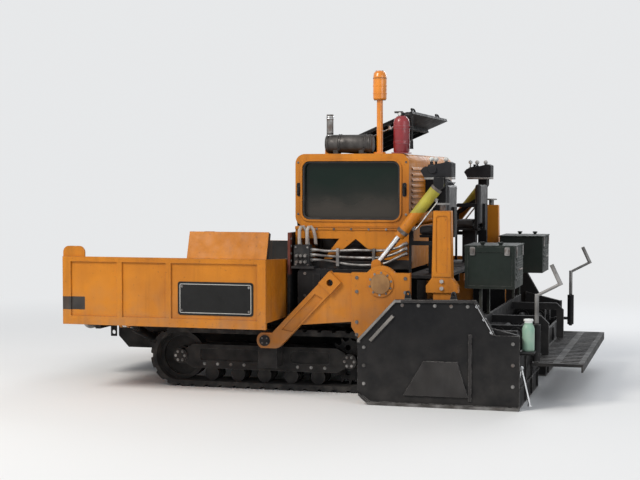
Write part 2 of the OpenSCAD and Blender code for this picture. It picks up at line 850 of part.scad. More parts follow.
main_frame();
conveyor_floor();
slat_chains();
bulkhead();
push_beam();
track_frame_left();
track_frame_right();
track_left();
track_right();
engine_block();
bay_panels();
engine_hood();
hood_grilles();
side_tanks();
hydraulic_hoses();
operator_deck();
console();
seat_frames();
seat_left();
seat_right();
beacon_mast();
extinguisher();
tie_down_lugs();
auger_support();
push_roller_left();
push_roller_right();
hopper_wing_left();
hopper_wing_right();
wing_barrel_left();
wing_barrel_right();
wing_rod_left();
wing_rod_right();
auger_left();
auger_right();
auger_flight_left();
auger_flight_right();
hood_lid();
tow_arm_left();
tow_arm_right();
screed_body();
screed_boxes();
depth_posts();
walkway();
lift_barrel_left();
lift_barrel_right();
lift_rod_left();
lift_rod_right();
extension_left();
extension_right();
end_gate_left();
end_gate_right();
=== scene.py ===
"""Looks of the tracked asphalt paver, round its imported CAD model. Metres, +X forward, +Y left, +Z up."""
import functools
import json
import math
from collections import namedtuple
from itertools import product

import bmesh
import bpy
from mathutils import Matrix, Vector


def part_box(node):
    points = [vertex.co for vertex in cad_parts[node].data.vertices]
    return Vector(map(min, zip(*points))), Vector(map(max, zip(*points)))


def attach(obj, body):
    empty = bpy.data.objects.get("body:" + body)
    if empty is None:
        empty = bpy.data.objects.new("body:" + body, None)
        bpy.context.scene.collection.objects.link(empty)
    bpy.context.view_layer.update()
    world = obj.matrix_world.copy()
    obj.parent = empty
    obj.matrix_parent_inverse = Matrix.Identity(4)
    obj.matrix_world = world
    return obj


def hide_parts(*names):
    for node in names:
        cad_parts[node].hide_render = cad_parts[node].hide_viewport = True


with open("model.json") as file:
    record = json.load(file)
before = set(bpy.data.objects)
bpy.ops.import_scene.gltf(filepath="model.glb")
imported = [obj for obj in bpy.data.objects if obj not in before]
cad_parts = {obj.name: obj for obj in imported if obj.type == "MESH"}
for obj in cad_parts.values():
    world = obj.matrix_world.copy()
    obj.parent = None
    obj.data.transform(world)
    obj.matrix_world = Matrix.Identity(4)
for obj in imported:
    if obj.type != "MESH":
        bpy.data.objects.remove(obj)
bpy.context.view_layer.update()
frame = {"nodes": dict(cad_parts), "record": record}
NODES = frame["nodes"]
SIDES = (("left", 1), ("right", -1))
FORWARD, LEFT, UP = Vector((1, 0, 0)), Vector((0, 1, 0)), Vector((0, 0, 1))

# A corner with its three values
Corner = namedtuple("Corner", "x y z")


def node_box(name):
    """Low and high corner of a CAD node at rest, to a tenth of a millimetre."""
    return [Corner(*(round(value, 4) for value in corner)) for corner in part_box(name)]


# Photograph's camera, solved from known sizes and the horizon
IMAGE_W = 640
PHOTO_FOCAL_PX = 400
ZOOM = 3.42
SENSOR_W = 36.0
CAMERA_AT = Vector((-3.05, 11.70, 1.73))
PAVER_ANGLE = math.atan2(0.423, 0.906)
CENTRE_PX = (386.0, 240.0)
HORIZON_PX = 222.0


def new_object(name, data):
    obj = bpy.data.objects.new(name, data)
    bpy.context.scene.collection.objects.link(obj)
    return obj


def make_camera():
    """Camera at the photograph's place, turned to the paver, with a longer lens."""
    data = bpy.data.cameras.new("camera")
    camera = new_object("camera", data)
    data.sensor_width = SENSOR_W
    data.lens = PHOTO_FOCAL_PX * ZOOM / IMAGE_W * SENSOR_W
    data.clip_end = 200
    yaw = math.atan((CENTRE_PX[0] - IMAGE_W / 2) / PHOTO_FOCAL_PX)
    pitch = math.atan((CENTRE_PX[1] - HORIZON_PX) / PHOTO_FOCAL_PX)
    heading = PAVER_ANGLE - yaw
    forward = Vector((math.sin(heading) * math.cos(pitch),
                      -math.cos(heading) * math.cos(pitch), -math.sin(pitch)))
    camera.location = CAMERA_AT
    camera.rotation_mode = "QUATERNION"
    camera.rotation_quaternion = forward.to_track_quat("-Z", "Y")
    bpy.context.scene.camera = camera


make_camera()


# Node helpers
def set_inputs(tree, node, inputs):
    """Each input takes a link or a plain value, and keeps its own where that is None."""
    for key, value in inputs.items():
        if isinstance(value, bpy.types.NodeSocket):
            tree.links.new(value, node.inputs[key])
        elif value is not None:
            node.inputs[key].default_value = value


def add_node(tree, kind, inputs, **settings):
    """A new node's outputs."""
    node = tree.nodes.new(f"ShaderNode{kind}")
    for key, value in settings.items():
        setattr(node, key, value)
    set_inputs(tree, node, inputs)
    return node.outputs


def math_node(tree, operation, a, b=None, clamp=False):
    return add_node(tree, "Math", {0: a, 1: b}, operation=operation, use_clamp=clamp)["Value"]


def multiply(tree, a, b):
    return math_node(tree, "MULTIPLY", a, b, True)


def frame_point(tree):
    """The point's place in object space, which is the frame's own metres."""
    return add_node(tree, "TexCoord", {})["Object"]


def frame_xyz(tree):
    return add_node(tree, "SeparateXYZ", {"Vector": frame_point(tree)})


def map_range(tree, value, low, high, form="SMOOTHSTEP"):
    inputs = {"Value": value, "From Min": low, "From Max": high}
    return add_node(tree, "MapRange", inputs, interpolation_type=form)["Result"]


def noise(tree, scale, detail=4.0, stretch=(1, 1, 1)):
    place = add_node(tree, "Mapping", {"Vector": frame_point(tree), "Scale": stretch})["Vector"]
    return add_node(tree, "TexNoise", {"Vector": place, "Scale": scale, "Detail": detail})["Fac"]


def ramp(tree, value, stops):
    node = tree.nodes.new("ShaderNodeValToRGB")
    elements = node.color_ramp.elements
    while len(elements) < len(stops):
        elements.new(0.5)
    for element, (place, colour) in zip(elements, stops):
        element.position = place
        element.color = (*colour, 1) if hasattr(colour, "__len__") else (colour, colour, colour, 1)
    tree.links.new(value, node.inputs["Fac"])
    return node.outputs["Color"]


def mix(tree, factor, a, b):
    node = tree.nodes.new("ShaderNodeMix")
    node.data_type = "RGBA"
    for socket, value in (("Factor", factor), ("A", a), ("B", b)):
        target = next(s for s in node.inputs if s.name == socket and s.enabled)
        if isinstance(value, bpy.types.NodeSocket):
            tree.links.new(value, target)
        elif socket == "Factor":
            target.default_value = value
        else:
            target.default_value = (*value, 1)
    return next(s for s in node.outputs if s.enabled)


def region(tree, low, high, both=True, lean=0.0):
    """1 inside the box between two corners, 0 outside it. None is no limit; both counts Y from the middle,
    and lean moves the Y limits inwards by that much for each metre above the low corner."""
    axes = frame_xyz(tree)
    mask = None
    for i, axis in enumerate("XYZ"):
        value = axes[axis]
        if axis == "Y" and both:
            value = math_node(tree, "ABSOLUTE", value)
        if axis == "Y" and lean:
            above = math_node(tree, "SUBTRACT", axes["Z"], low[2])
            value = math_node(tree, "ADD", value, math_node(tree, "MULTIPLY", above, lean))
        for operation, edge in (("GREATER_THAN", low[i]), ("LESS_THAN", high[i])):
            if edge is not None:
                test = math_node(tree, operation, value, edge)
                mask = test if mask is None else math_node(tree, "MULTIPLY", mask, test)
    return mask


def edge_wear(tree, radius, low, high):
    """White where an edge is near, from the rounded normal against the true one."""
    rounded = add_node(tree, "Bevel", {"Radius": radius}, samples=4)["Normal"]
    true = add_node(tree, "NewGeometry", {})["Normal"]
    likeness = add_node(tree, "VectorMath", {0: rounded, 1: true}, operation="DOT_PRODUCT")["Value"]
    return map_range(tree, likeness, high, low, "LINEAR")


def bump(tree, bsdf, height, strength, distance):
    normal = add_node(tree, "Bump", {"Height": height, "Strength": strength, "Distance": distance})["Normal"]
    tree.links.new(normal, bsdf.inputs["Normal"])


def low_dust(tree, top, scale=9.0):
    """White low down on the machine, broken up by noise."""
    height = map_range(tree, frame_xyz(tree)["Z"], top, 0.0)
    return multiply(tree, height, ramp(tree, noise(tree, scale, 6), ((0.35, 0.15), (0.7, 1.0))))


# Every material by its name
LOOKS = {}


def shader(name, roughness, metallic=0.0, coat=0.0, specular=None):
    """A new material's node tree and its shader node."""
    mat = LOOKS[name] = bpy.data.materials.new(name)
    mat.use_nodes = True
    bsdf = mat.node_tree.nodes["Principled BSDF"]
    set_inputs(mat.node_tree, bsdf, {"Roughness": roughness, "Metallic": metallic, "Coat Weight": coat,
                                     "Specular IOR Level": specular})
    return mat.node_tree, bsdf


# Stage: a pale floor that runs into a pale backdrop, a soft sky and three soft lamps
BACKDROP = (0.80, 0.81, 0.82, 1)
FLOOR_GREY = (0.80, 0.80, 0.795, 1)
FADE_FROM, FADE_TO = 3.2, 9.0


def seen_directly(tree):
    """1 where the camera sees the surface itself, or in a reflection or through glass."""
    path = add_node(tree, "LightPath", {})
    mirrored = math_node(tree, "MAXIMUM", path["Is Glossy Ray"], path["Is Transmission Ray"])
    return math_node(tree, "MAXIMUM", path["Is Camera Ray"], mirrored)


def blend(tree, factor, first, second, output):
    """The output shows the first shader, and the second one by the factor."""
    both = add_node(tree, "MixShader", {"Fac": factor, 1: first, 2: second})["Shader"]
    tree.links.new(both, tree.nodes[output].inputs["Surface"])


def pale_floor():
    tree, bsdf = shader("floor", 0.9)
    bsdf.inputs["Base Color"].default_value = FLOOR_GREY
    axes = frame_xyz(tree)
    squares = (math_node(tree, "POWER", axes[axis], 2.0) for axis in "XY")
    far = math_node(tree, "SQRT", math_node(tree, "ADD", *squares))
    glow = add_node(tree, "Emission", {"Color": BACKDROP})["Emission"]
    factor = multiply(tree, map_range(tree, far, FADE_FROM, FADE_TO), seen_directly(tree))
    blend(tree, factor, bsdf.outputs["BSDF"], glow, "Material Output")


def pale_world():
    world = bpy.data.worlds.new("world")
    world.use_nodes = True
    tree = world.node_tree
    sky = tree.nodes["Background"]
    set_inputs(tree, sky, {"Color": (0.86, 0.90, 0.96, 1), "Strength": 0.45})
    seen = add_node(tree, "Background", {"Color": BACKDROP})["Background"]
    blend(tree, seen_directly(tree), sky.outputs["Background"], seen, "World Output")
    return world


def make_stage(reach=80):
    scene = bpy.context.scene
    scene.view_settings.view_transform = "Standard"
    mesh = bpy.data.meshes.new("floor")
    mesh.from_pydata([(u * reach, v * reach, 0) for u, v in ((-1, -1), (1, -1), (1, 1), (-1, 1))],
                     [], [(0, 1, 2, 3)])
    pale_floor()
    mesh.materials.append(LOOKS["floor"])
    new_object("floor", mesh)
    scene.world = pale_world()
    for name, place, size, power, colour in (
            ("key", (5, 8, 9), 4, 980, (1.0, 0.96, 0.9)),
            ("fill", (-9, 7, 5), 6, 260, (0.92, 0.95, 1.0)),
            ("rim", (-3, -9, 7), 6, 480, (0.95, 0.97, 1.0))):
        light = bpy.data.lights.new(name, "AREA")
        light.size = size
        light.energy = power
        light.color = colour
        lamp = new_object(name, light)
        lamp.location = place
        lamp.rotation_mode = "QUATERNION"
        lamp.rotation_quaternion = (0.9 * UP - Vector(place)).to_track_quat("-Z", "Y")


make_stage()


# Materials
DUST = (0.17, 0.145, 0.12)
BARE_STEEL = (0.30, 0.285, 0.27)

# Stretch of other colour between two corners, on both sides or the left one, with its lean as region takes it
Patch = namedtuple("Patch", "low high light dark metal both lean", defaults=(0, True, 0.0))


def patched(tree, base, parts):
    """The colour with patches of other colour laid over it, and how metallic they make it."""
    metal = None
    for patch in parts:
        mask = region(tree, patch.low, patch.high, patch.both, patch.lean)
        colour = ramp(tree, noise(tree, 7, 5), ((0.35, patch.dark), (0.65, patch.light)))
        base = mix(tree, mask, base, colour)
        if patch.metal:
            share = math_node(tree, "MULTIPLY", mask, patch.metal)
            metal = share if metal is None else math_node(tree, "ADD", metal, share, True)
    return base, metal


def painted(name, colour, dark, wear, roughness=0.38, coat=0.25, wear_amount=0.7, dust=DUST,
            dust_top=1.1, specular=0.5, parts=()):
    """Paint with faded areas, runs of grime, dust low down, chipped edges and patches of other colour."""
    tree, bsdf = shader(name, roughness, 0.0, coat, specular)
    base = ramp(tree, noise(tree, 2.2, 5), ((0.35, dark), (0.62, colour)))
    base, metal = patched(tree, base, parts)
    streaks = ramp(tree, noise(tree, 6, 5, (3, 3, 0.25)), ((0.50, 0.0), (0.78, 1.0)))
    grimy = mix(tree, multiply(tree, streaks, 0.30), base, tuple(c * 0.35 for c in dark))
    specks = ramp(tree, noise(tree, 46, 3), ((0.66, 0.0), (0.72, 1.0)))
    specked = mix(tree, multiply(tree, specks, 0.35), grimy, (0.03, 0.026, 0.022))
    dusty = mix(tree, multiply(tree, low_dust(tree, dust_top), 0.8), specked, dust)
    chips = multiply(tree, edge_wear(tree, 0.007, 0.72, 0.97),
                     ramp(tree, noise(tree, 34, 3), ((0.40, 0.0), (0.52, 1.0))))
    worn = mix(tree, multiply(tree, chips, wear_amount), dusty, wear)
    rough = ramp(tree, noise(tree, 14, 4), ((0.3, roughness), (0.8, min(1, roughness + 0.3))))
    set_inputs(tree, bsdf, {"Base Color": worn, "Metallic": metal, "Roughness": rough})
    bump(tree, bsdf, noise(tree, 160, 2), 0.06, 0.001)


def worn_steel(name, colour, dark, roughness=0.42, metallic=0.85, rust=0.0, parts=()):
    """Bare steel with darker areas, fine pits, brown stains of rust and patches of other colour."""
    tree, bsdf = shader(name, roughness, metallic)
    base = ramp(tree, noise(tree, 9, 6), ((0.35, dark), (0.65, colour)))
    if rust:
        stain = ramp(tree, noise(tree, 15, 7), ((0.52, 0.0), (0.68, 1.0)))
        base = mix(tree, multiply(tree, stain, rust), base, (0.10, 0.042, 0.018))
    base, _ = patched(tree, base, parts)
    rough = ramp(tree, noise(tree, 30, 4), ((0.3, roughness), (0.7, min(1, roughness + 0.3))))
    set_inputs(tree, bsdf, {"Base Color": base, "Roughness": rough})
    bump(tree, bsdf, noise(tree, 60, 5), 0.25, 0.002)


def rubber(name, colour, dust, roughness=0.85, share=0.6, parts=()):
    """Rubber or dull plastic with dust in patches."""
    tree, bsdf = shader(name, roughness, specular=0.3)
    patches = ramp(tree, noise(tree, 12, 6), ((0.45, 0.0), (0.7, 1.0)))
    base = mix(tree, multiply(tree, patches, share), colour, dust)
    base, _ = patched(tree, base, parts)
    tree.links.new(base, bsdf.inputs["Base Color"])
    bump(tree, bsdf, noise(tree, 220, 3), 0.2, 0.001)


def vinyl(name, colour, sheen):
    """Vinyl with a fine grain, and lighter patches that are scuffs with a painted sheen."""
    tree, bsdf = shader(name, 0.48)
    # Lighter patches: scuffs and painted sheen
    scuffs_and_sheen = ramp(tree, noise(tree, 18, 6), ((0.5, 0.0), (0.72, 1.0)))
    set_inputs(tree, bsdf, {
        "Base Color": mix(tree, multiply(tree, scuffs_and_sheen, 0.5), colour, sheen),
        "Roughness": ramp(tree, noise(tree, 25, 4), ((0.3, 0.40), (0.7, 0.62)))})
    grain = add_node(tree, "TexVoronoi", {"Vector": frame_point(tree), "Scale": 420})["Distance"]
    bump(tree, bsdf, grain, 0.25, 0.0006)


def window_panel(name, low_z, high_z):
    """Dark glossy panel with a painted reflection, green-black above and grey-brown below."""
    tree, bsdf = shader(name, 0.12, specular=0.25)
    height = map_range(tree, frame_xyz(tree)["Z"], low_z, high_z)
    sway = math_node(tree, "MULTIPLY", math_node(tree, "SUBTRACT", noise(tree, 3.5, 5), 0.5), 0.7)
    wavy = math_node(tree, "ADD", height, sway, True)
    # Grey-brown low down to green-black high up: painted reflection
    base = ramp(tree, wavy, ((0.15, (0.042, 0.037, 0.031)), (0.48, (0.012, 0.015, 0.012)),
                             (0.85, (0.003, 0.011, 0.007))))
    set_inputs(tree, bsdf, {"Base Color": base, "Roughness": ramp(tree, wavy, ((0.1, 0.34), (0.8, 0.10)))})
    bump(tree, bsdf, noise(tree, 2.0, 2), 0.15, 0.01)


def clear_orange(name):
    """Glossy orange of the mast and its lens."""
    tree, bsdf = shader(name, 0.3, 0.0, 0.5)
    base = ramp(tree, noise(tree, 5, 4), ((0.3, (0.52, 0.15, 0.008)), (0.7, (0.78, 0.25, 0.012))))
    tree.links.new(base, bsdf.inputs["Base Color"])
    bump(tree, bsdf, noise(tree, 90, 2), 0.05, 0.001)


ORANGE = (0.60, 0.205, 0.006)
ORANGE_DARK = (0.44, 0.140, 0.005)
CHIPPED = (0.12, 0.085, 0.06)
STAINED, STAINED_DARK = (0.030, 0.028, 0.027), (0.010, 0.010, 0.010)
WORN, WORN_DARK = (0.36, 0.35, 0.34), (0.12, 0.11, 0.10)

# Places that the materials and the pieces share
GRILLE_LOW, GRILLE_HIGH = node_box("hood_grilles")
HOOD_LOW, HOOD_HIGH = node_box("engine_hood")
HOOD_X, HOOD_FACE = (HOOD_LOW.x, HOOD_HIGH.x), HOOD_HIGH.y
WING_LOW, WING_HIGH = node_box("hopper_wing_left")
WING_X, WING_Z = (WING_LOW.x, WING_HIGH.x - 0.020), (0.550, 1.100)
WALL, PLATE, LIP = 0.040, 0.016, 0.014
WING_FACE = WING_HIGH.y - LIP
GATE_LOW, GATE_HIGH = node_box("end_gate_left")
GATE_FACE, GATE_OUT = GATE_LOW.y + 0.035, GATE_HIGH.y - 0.011
GATE_SKIN = GATE_OUT - 0.0005

# Painted shade inside the housing, stained insides of the hopper and its guard, and the shade at the foot of
# the bay
# Near-black inside the housing: painted shade
HOOD_INSIDE_SHADE = Patch((HOOD_X[0] + WALL - 0.001, None, 1.30), (HOOD_X[1] - WALL + 0.001, 0.9205, 1.8905),
                    (0.05, 0.05, 0.05), (0.025, 0.025, 0.025))
HOPPER_INSIDE = Patch((WING_X[0] + PLATE - 0.0005, 0.45, 0.6155),
                      (WING_X[1] - PLATE + 0.0005, WING_FACE - PLATE + 0.0005, 1.1),
                      STAINED, STAINED_DARK, 0.25)
GUARD_INSIDE = Patch((WING_X[0] - 0.001, 1.40, 1.1), (0.881, WING_FACE - 0.008, 1.32),
                     STAINED, STAINED_DARK, 0.1, lean=0.338)
BAY_SHADE = Patch((-0.80, 0.90, 0.90), (0.20, 0.97, 1.075), (0.030, 0.027, 0.025), (0.012, 0.011, 0.011))

# Small parts of another finish on the tractor and the tow arms, with painted shade on the silencer and a
# painted highlight on the lift barrels
HOPPER_STRIPE = Patch((1.76, WING_FACE - 0.001, 0.670), (WING_X[1], 1.7, 0.775), (0.022, 0.02, 0.02),
                      (0.012, 0.011, 0.011), both=False)
BULKHEAD_EDGE = Patch((0.17, 1.03, 0.95), (0.21, 1.09, 1.30), (0.16, 0.045, 0.030), (0.09, 0.025, 0.018),
                      both=False)
# Darker silencer: painted shade
SILENCER_SHADE = Patch((-0.48, 0.78, 1.93), (-0.06, 0.96, 2.10), (0.125, 0.115, 0.11), (0.040, 0.038, 0.036),
                      both=False)
VALVE = Patch((-0.9, 0.7, 2.2385), (-0.6, 1.0, 2.4), (0.06, 0.055, 0.05), (0.025, 0.025, 0.025), 0.4)
KNOBS = Patch((-1.2, 0.9, 1.8625), (-0.9, 1.2, 1.95), (0.75, 0.73, 0.68), (0.55, 0.53, 0.5))
PALE_LOOPS = Patch((-0.03, 0.90, 1.195), (0.20, 1.10, 1.36), (0.46, 0.41, 0.37), (0.30, 0.26, 0.23))
# Yellow on the upper lift barrels: painted highlight
BARREL_HIGHLIGHT = Patch((-1.2, 1.0, 1.46), (-0.8, 1.2, 1.9), (0.50, 0.44, 0.05), (0.34, 0.30, 0.04))
BOSS_DISC = Patch((-0.702, 1.2885, 0.825), (-0.542, 1.34, 0.985), (0.40, 0.215, 0.080),
                  (0.25, 0.125, 0.045), 0.2)
POST_NUTS = Patch((-1.14, 1.2955, 0.85), (-1.08, 1.34, 0.96), (0.6, 0.58, 0.55), (0.4, 0.38, 0.36), 0.8)

# Worn and bare parts of the screed, its gates and cranks
GATE_TRIM = Patch((-1.8, GATE_SKIN, 0.02), (-0.4, 1.62, 0.83), (0.052, 0.049, 0.048),
                  (0.026, 0.024, 0.024), 0.1)
SLOPE_STRIP = Patch((-0.85, GATE_SKIN, 0.48), (-0.4, 1.62, 0.83), (0.30, 0.28, 0.26), (0.15, 0.14, 0.13), 0.4)
GATE_RIM = Patch((-1.45, 1.53, 0.8195), (-0.78, 1.58, 0.823), (0.28, 0.25, 0.22), WORN_DARK, 0.5)
SKI = Patch((-1.8, 1.50, -0.01), (-0.5, 1.62, 0.024), WORN, WORN_DARK, 0.7)
SOLE = Patch((-1.8, 0, -0.01), (-0.9, 1.6, 0.012), WORN, WORN_DARK, 0.7)
CRANK = Patch((-2.10, 1.25, 0.64), (-1.80, 1.50, 1.12), (0.34, 0.33, 0.32), (0.14, 0.135, 0.13), 0.6)
BOTTLE_CAP = Patch((-1.9, 1.4, 0.652), (-1.7, 1.6, 0.70), (0.72, 0.73, 0.70), (0.58, 0.59, 0.56))
BOTTLE_SHELF = Patch((-1.9, 1.4, 0.40), (-1.7, 1.6, 0.4415), (0.02, 0.02, 0.02), (0.01, 0.01, 0.01))

# The record's slots
painted("orange_paint", ORANGE, ORANGE_DARK, CHIPPED, 0.42, 0.08, specular=0.35,
        parts=(HOOD_INSIDE_SHADE, HOPPER_INSIDE, GUARD_INSIDE, HOPPER_STRIPE, BOSS_DISC, POST_NUTS, BARREL_HIGHLIGHT,
               BAY_SHADE))
painted("black_paint", (0.011, 0.011, 0.012), (0.006, 0.006, 0.007), (0.20, 0.19, 0.18), 0.55, 0.0, 0.6,
        (0.055, 0.050, 0.046), specular=0.22, parts=(BULKHEAD_EDGE,))
painted("screed_paint", (0.010, 0.0095, 0.010), (0.005, 0.005, 0.006), BARE_STEEL, 0.52, 0.0, 0.85,
        (0.034, 0.031, 0.029), 0.8, 0.22, (GATE_TRIM, SLOPE_STRIP, GATE_RIM, SKI, SOLE, CRANK))
painted("box_paint", (0.010, 0.017, 0.013), (0.006, 0.010, 0.008), (0.16, 0.16, 0.15), 0.5, 0.0,
        specular=0.25)
painted("console_plastic", (0.018, 0.018, 0.02), (0.010, 0.010, 0.012), (0.1, 0.1, 0.1), 0.6, 0.0, 0.3,
        specular=0.25, parts=(KNOBS,))
worn_steel("worn_steel", WORN, (0.10, 0.095, 0.09), rust=0.55, parts=(SILENCER_SHADE,))
worn_steel("rod_chrome", (0.80, 0.81, 0.82), (0.62, 0.63, 0.64), 0.12, 1.0)
rubber("track_rubber", (0.022, 0.021, 0.021), (0.085, 0.078, 0.070))
painted("engine_paint", (0.06, 0.06, 0.065), (0.03, 0.03, 0.03), (0.2, 0.2, 0.2))
window_panel("mesh_black", GRILLE_LOW.z, GRILLE_HIGH.z)
rubber("hose_rubber", (0.020, 0.020, 0.021), (0.07, 0.066, 0.062), 0.6, 0.5, (PALE_LOOPS,))
vinyl("seat_vinyl", (0.016, 0.015, 0.016), (0.050, 0.047, 0.046))
clear_orange("mast_orange")
painted("red_paint", (0.26, 0.012, 0.018), (0.15, 0.008, 0.012), (0.3, 0.2, 0.2), 0.3, 0.4, parts=(VALVE,))

# Finishes of small pieces that the record has no slot for
painted("sign_black", (0.010, 0.010, 0.010), (0.005, 0.005, 0.005), (0.1, 0.1, 0.1), 0.45, 0.0, 0.3,
        dust_top=0.5, specular=0.25)
painted("sign_line", (0.50, 0.49, 0.46), (0.34, 0.33, 0.31), (0.1, 0.1, 0.1), 0.5, 0.0, 0.2, dust_top=0.5)
painted("dial_face", (0.72, 0.72, 0.70), (0.6, 0.6, 0.58), (0.3, 0.3, 0.3), 0.3, 0.6, 0.1)
rubber("cap_white", (0.70, 0.72, 0.70), (0.55, 0.55, 0.5), 0.4, 0.4)
rubber("bottle_plastic", (0.26, 0.42, 0.32), (0.42, 0.48, 0.40), 0.35, 0.5, (BOTTLE_CAP, BOTTLE_SHELF))


# CAD nodes
SLOTS = {s["node"]: s["material_slot"] for s in frame["record"]["subparts"]}
SOFT_EDGES = {node: width for width, nodes in (
    (0.003, ("bay_panels", "operator_deck", "hood_lid", "main_frame")),
    (0.004, ("screed_body", "extension_left", "extension_right", "push_beam", "depth_posts", "side_tanks")),
    (0.005, ("engine_hood", "console")),
    (0.006, ("screed_boxes",))) for node in nodes}


def soften(obj, width):
    """Rounded edges."""
    bevel = obj.modifiers.new("bevel", "BEVEL")
    bevel.width = width
    bevel.segments = 2
    bevel.limit_method = "ANGLE"
    bevel.angle_limit = math.radians(50)
    bevel.harden_normals = True


def dress_cad_nodes():
    """Each CAD node takes its slot's material, and the plate work gets rounded edges."""
    for name, node in NODES.items():
        node.data.materials.clear()
        node.data.materials.append(LOOKS[SLOTS[name]])
        if name in SOFT_EDGES:
            weld = node.modifiers.new("weld", "WELD")
            weld.merge_threshold = 0.00002
            soften(node, SOFT_EDGES[name])


dress_cad_nodes()


# Mesh helpers
def new_mesh(name, bm):
    mesh = bpy.data.meshes.new(name)
    bm.to_mesh(mesh)
    bm.free()
    return mesh


def add_piece(name, bm, slot, body, finish=None, smooth=35, soft=0.0):
    """A finished mesh of its own, riding on a body."""
    bmesh.ops.recalc_face_normals(bm, faces=bm.faces)
    mesh = new_mesh(name, bm)
    mesh.polygons.foreach_set("use_smooth", [True] * len(mesh.polygons))
    mesh.set_sharp_from_angle(angle=math.radians(smooth))
    mesh.materials.append(LOOKS[finish or slot])
    piece = new_object(name, mesh)
    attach(piece, body)
    if soft:
        soften(piece, soft)
    return piece


def single(slot, body="tractor", finish=None, soft=0.0, node=None, place=None, sides=(("", 1),)):
    """What a function draws becomes a piece of the function's name, riding on the body. Place turns the
    drawing, and a CAD node gives way to it."""
    def make(build):
        for side, sign in sides:
            bm = bmesh.new()
            build(bm)
            if place is not None:
                bmesh.ops.transform(bm, matrix=place, verts=bm.verts)
            if sign < 0:
                bmesh.ops.scale(bm, vec=(1, -1, 1), verts=bm.verts)
            name = f"{build.__name__}_{side}".rstrip("_")
            piece = add_piece(name, bm, slot, body.format(side), finish, soft=soft)
            if node:
                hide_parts(node.format(side))
        return build
    return make


# The same for the left side as drawn, and its mirror image on the right
pair = functools.partial(single, sides=SIDES)


def turned_to(normal, at):
    return Matrix.Translation(at) @ UP.rotation_difference(Vector(normal)).to_matrix().to_4x4()


def about(centre, half):
    """Low and high value round a middle one."""
    return centre - half, centre + half


def inset(span, by):
    """Low and high value, each moved inwards."""
    return span[0] + by, span[1] - by


def disc(bm, at, normal, radius, depth, sides=24, tip=1.0):
    """Round or many-sided boss that stands on a surface at a point."""
    centre = Vector(at) + Vector(normal).normalized() * depth / 2
    bmesh.ops.create_cone(bm, cap_ends=True, segments=sides, radius1=radius, radius2=radius * tip,
                          depth=depth, matrix=turned_to(normal, centre))


def ball(bm, at, radius):
    bmesh.ops.create_uvsphere(bm, u_segments=24, v_segments=14, radius=radius, matrix=Matrix.Translation(at))


def hex_bolt(bm, at, normal, size=0.024):
    """Hexagon head on its washer."""
    disc(bm, at, normal, size * 0.72, size * 0.12, 18)
    disc(bm, Vector(at) + Vector(normal) * size * 0.1, normal, size * 0.56, size * 0.42, 6, 0.9)


def bolts(bm, y, places, size, normal=LEFT):
    """Bolt heads on a face across Y, at pairs of X and Z."""
    for x, z in places:
        hex_bolt(bm, (x, y, z), normal, size)


def brick(bm, x, y, z, bevel=0.0):
    """Box between pairs of low and high values, with rounded edges."""
    made = bmesh.ops.create_cube(bm, size=1, matrix=Matrix.Translation(
        ((x[0] + x[1]) / 2, (y[0] + y[1]) / 2, (z[0] + z[1]) / 2)) @ Matrix.Diagonal(
        (x[1] - x[0], y[1] - y[0], z[1] - z[0], 1)))
    if bevel:
        edges = {e for v in made["verts"] for e in v.link_edges}
        bmesh.ops.bevel(bm, geom=list(edges), offset=bevel, segments=3, profile=0.7, affect="EDGES")


def smooth_path(points, steps=6):
    """Points on one smooth curve through the given ones."""
    p = [Vector(q) for q in points]
    p = [p[0] * 2 - p[1]] + p + [p[-1] * 2 - p[-2]]
    out = []
    for i in range(1, len(p) - 2):
        for k in range(steps):
            t = k / steps
            out.append(0.5 * ((2 * p[i]) + (p[i + 1] - p[i - 1]) * t
                              + (2 * p[i - 1] - 5 * p[i] + 4 * p[i + 1] - p[i + 2]) * t ** 2
                              + (3 * p[i] - p[i - 1] - 3 * p[i + 1] + p[i + 2]) * t ** 3))
    out.append(p[-2])
    return out


def skin(bm, loops, ring=False):
    """Faces between loops of points, with closed ends or joined up into a ring."""
    for a, b in zip(loops, loops[1:] + loops[:1] if ring else loops[1:]):
        for k in range(len(a)):
            m = (k + 1) % len(a)
            bm.faces.new((a[k], a[m], b[m], b[k]))
    if not ring:
        bm.faces.new(loops[0][::-1])
        bm.faces.new(loops[-1])


def tube(bm, points, radius, sides=10, steps=6):
    """Round tube with closed ends along a smooth curve through the points."""
    path = smooth_path(points, steps)
    side = (path[1] - path[0]).orthogonal().normalized()
    rings = []
    for i, at in enumerate(path):
        along = (path[min(i + 1, len(path) - 1)] - path[max(i - 1, 0)]).normalized()
        side = (side - along * side.dot(along)).normalized()
        other = along.cross(side)
        rings.append([bm.verts.new(at + radius * (math.cos(a) * side + math.sin(a) * other))
                      for a in (2 * math.pi * k / sides for k in range(sides))])
    skin(bm, rings)


def fitting(bm, at, direction, radius):
    """Hose end: a crimped sleeve and its hexagon nut, from the surface outwards."""
    direction = Vector(direction).normalized()
    disc(bm, at, direction, radius * 1.5, radius * 1.4, 6)
    disc(bm, Vector(at) + direction * radius * 1.4, direction, radius * 1.22, radius * 2.2, 14, 0.96)


def rect(u, v):
    return [(u[0], v[0]), (u[1], v[0]), (u[1], v[1]), (u[0], v[1])]


def polar(centre, radius, degrees):
    a = math.radians(degrees)
    return centre[0] + radius * math.cos(a), centre[1] + radius * math.sin(a)


def arc(centre, radius, start, end, steps=8):
    """Points on a circle from one angle to another, in degrees."""
    return [polar(centre, radius, start + (end - start) * k / steps) for k in range(steps + 1)]


def spread(start, end, count):
    return [start + (end - start) * k / (count - 1) for k in range(count)]


def circle(centre, radius, sides=28):
    return arc(centre, radius, 0, 360, sides)[:-1]


def rounded_outline(u, v, radius, steps=6):
    """Rectangle with round corners, as points."""
    corners = ((u[1] - radius, v[1] - radius, 0), (u[0] + radius, v[1] - radius, 90),
               (u[0] + radius, v[0] + radius, 180), (u[1] - radius, v[0] + radius, 270))
    return [point for cu, cv, turn in corners for point in arc((cu, cv), radius, turn, turn + 90, steps)]


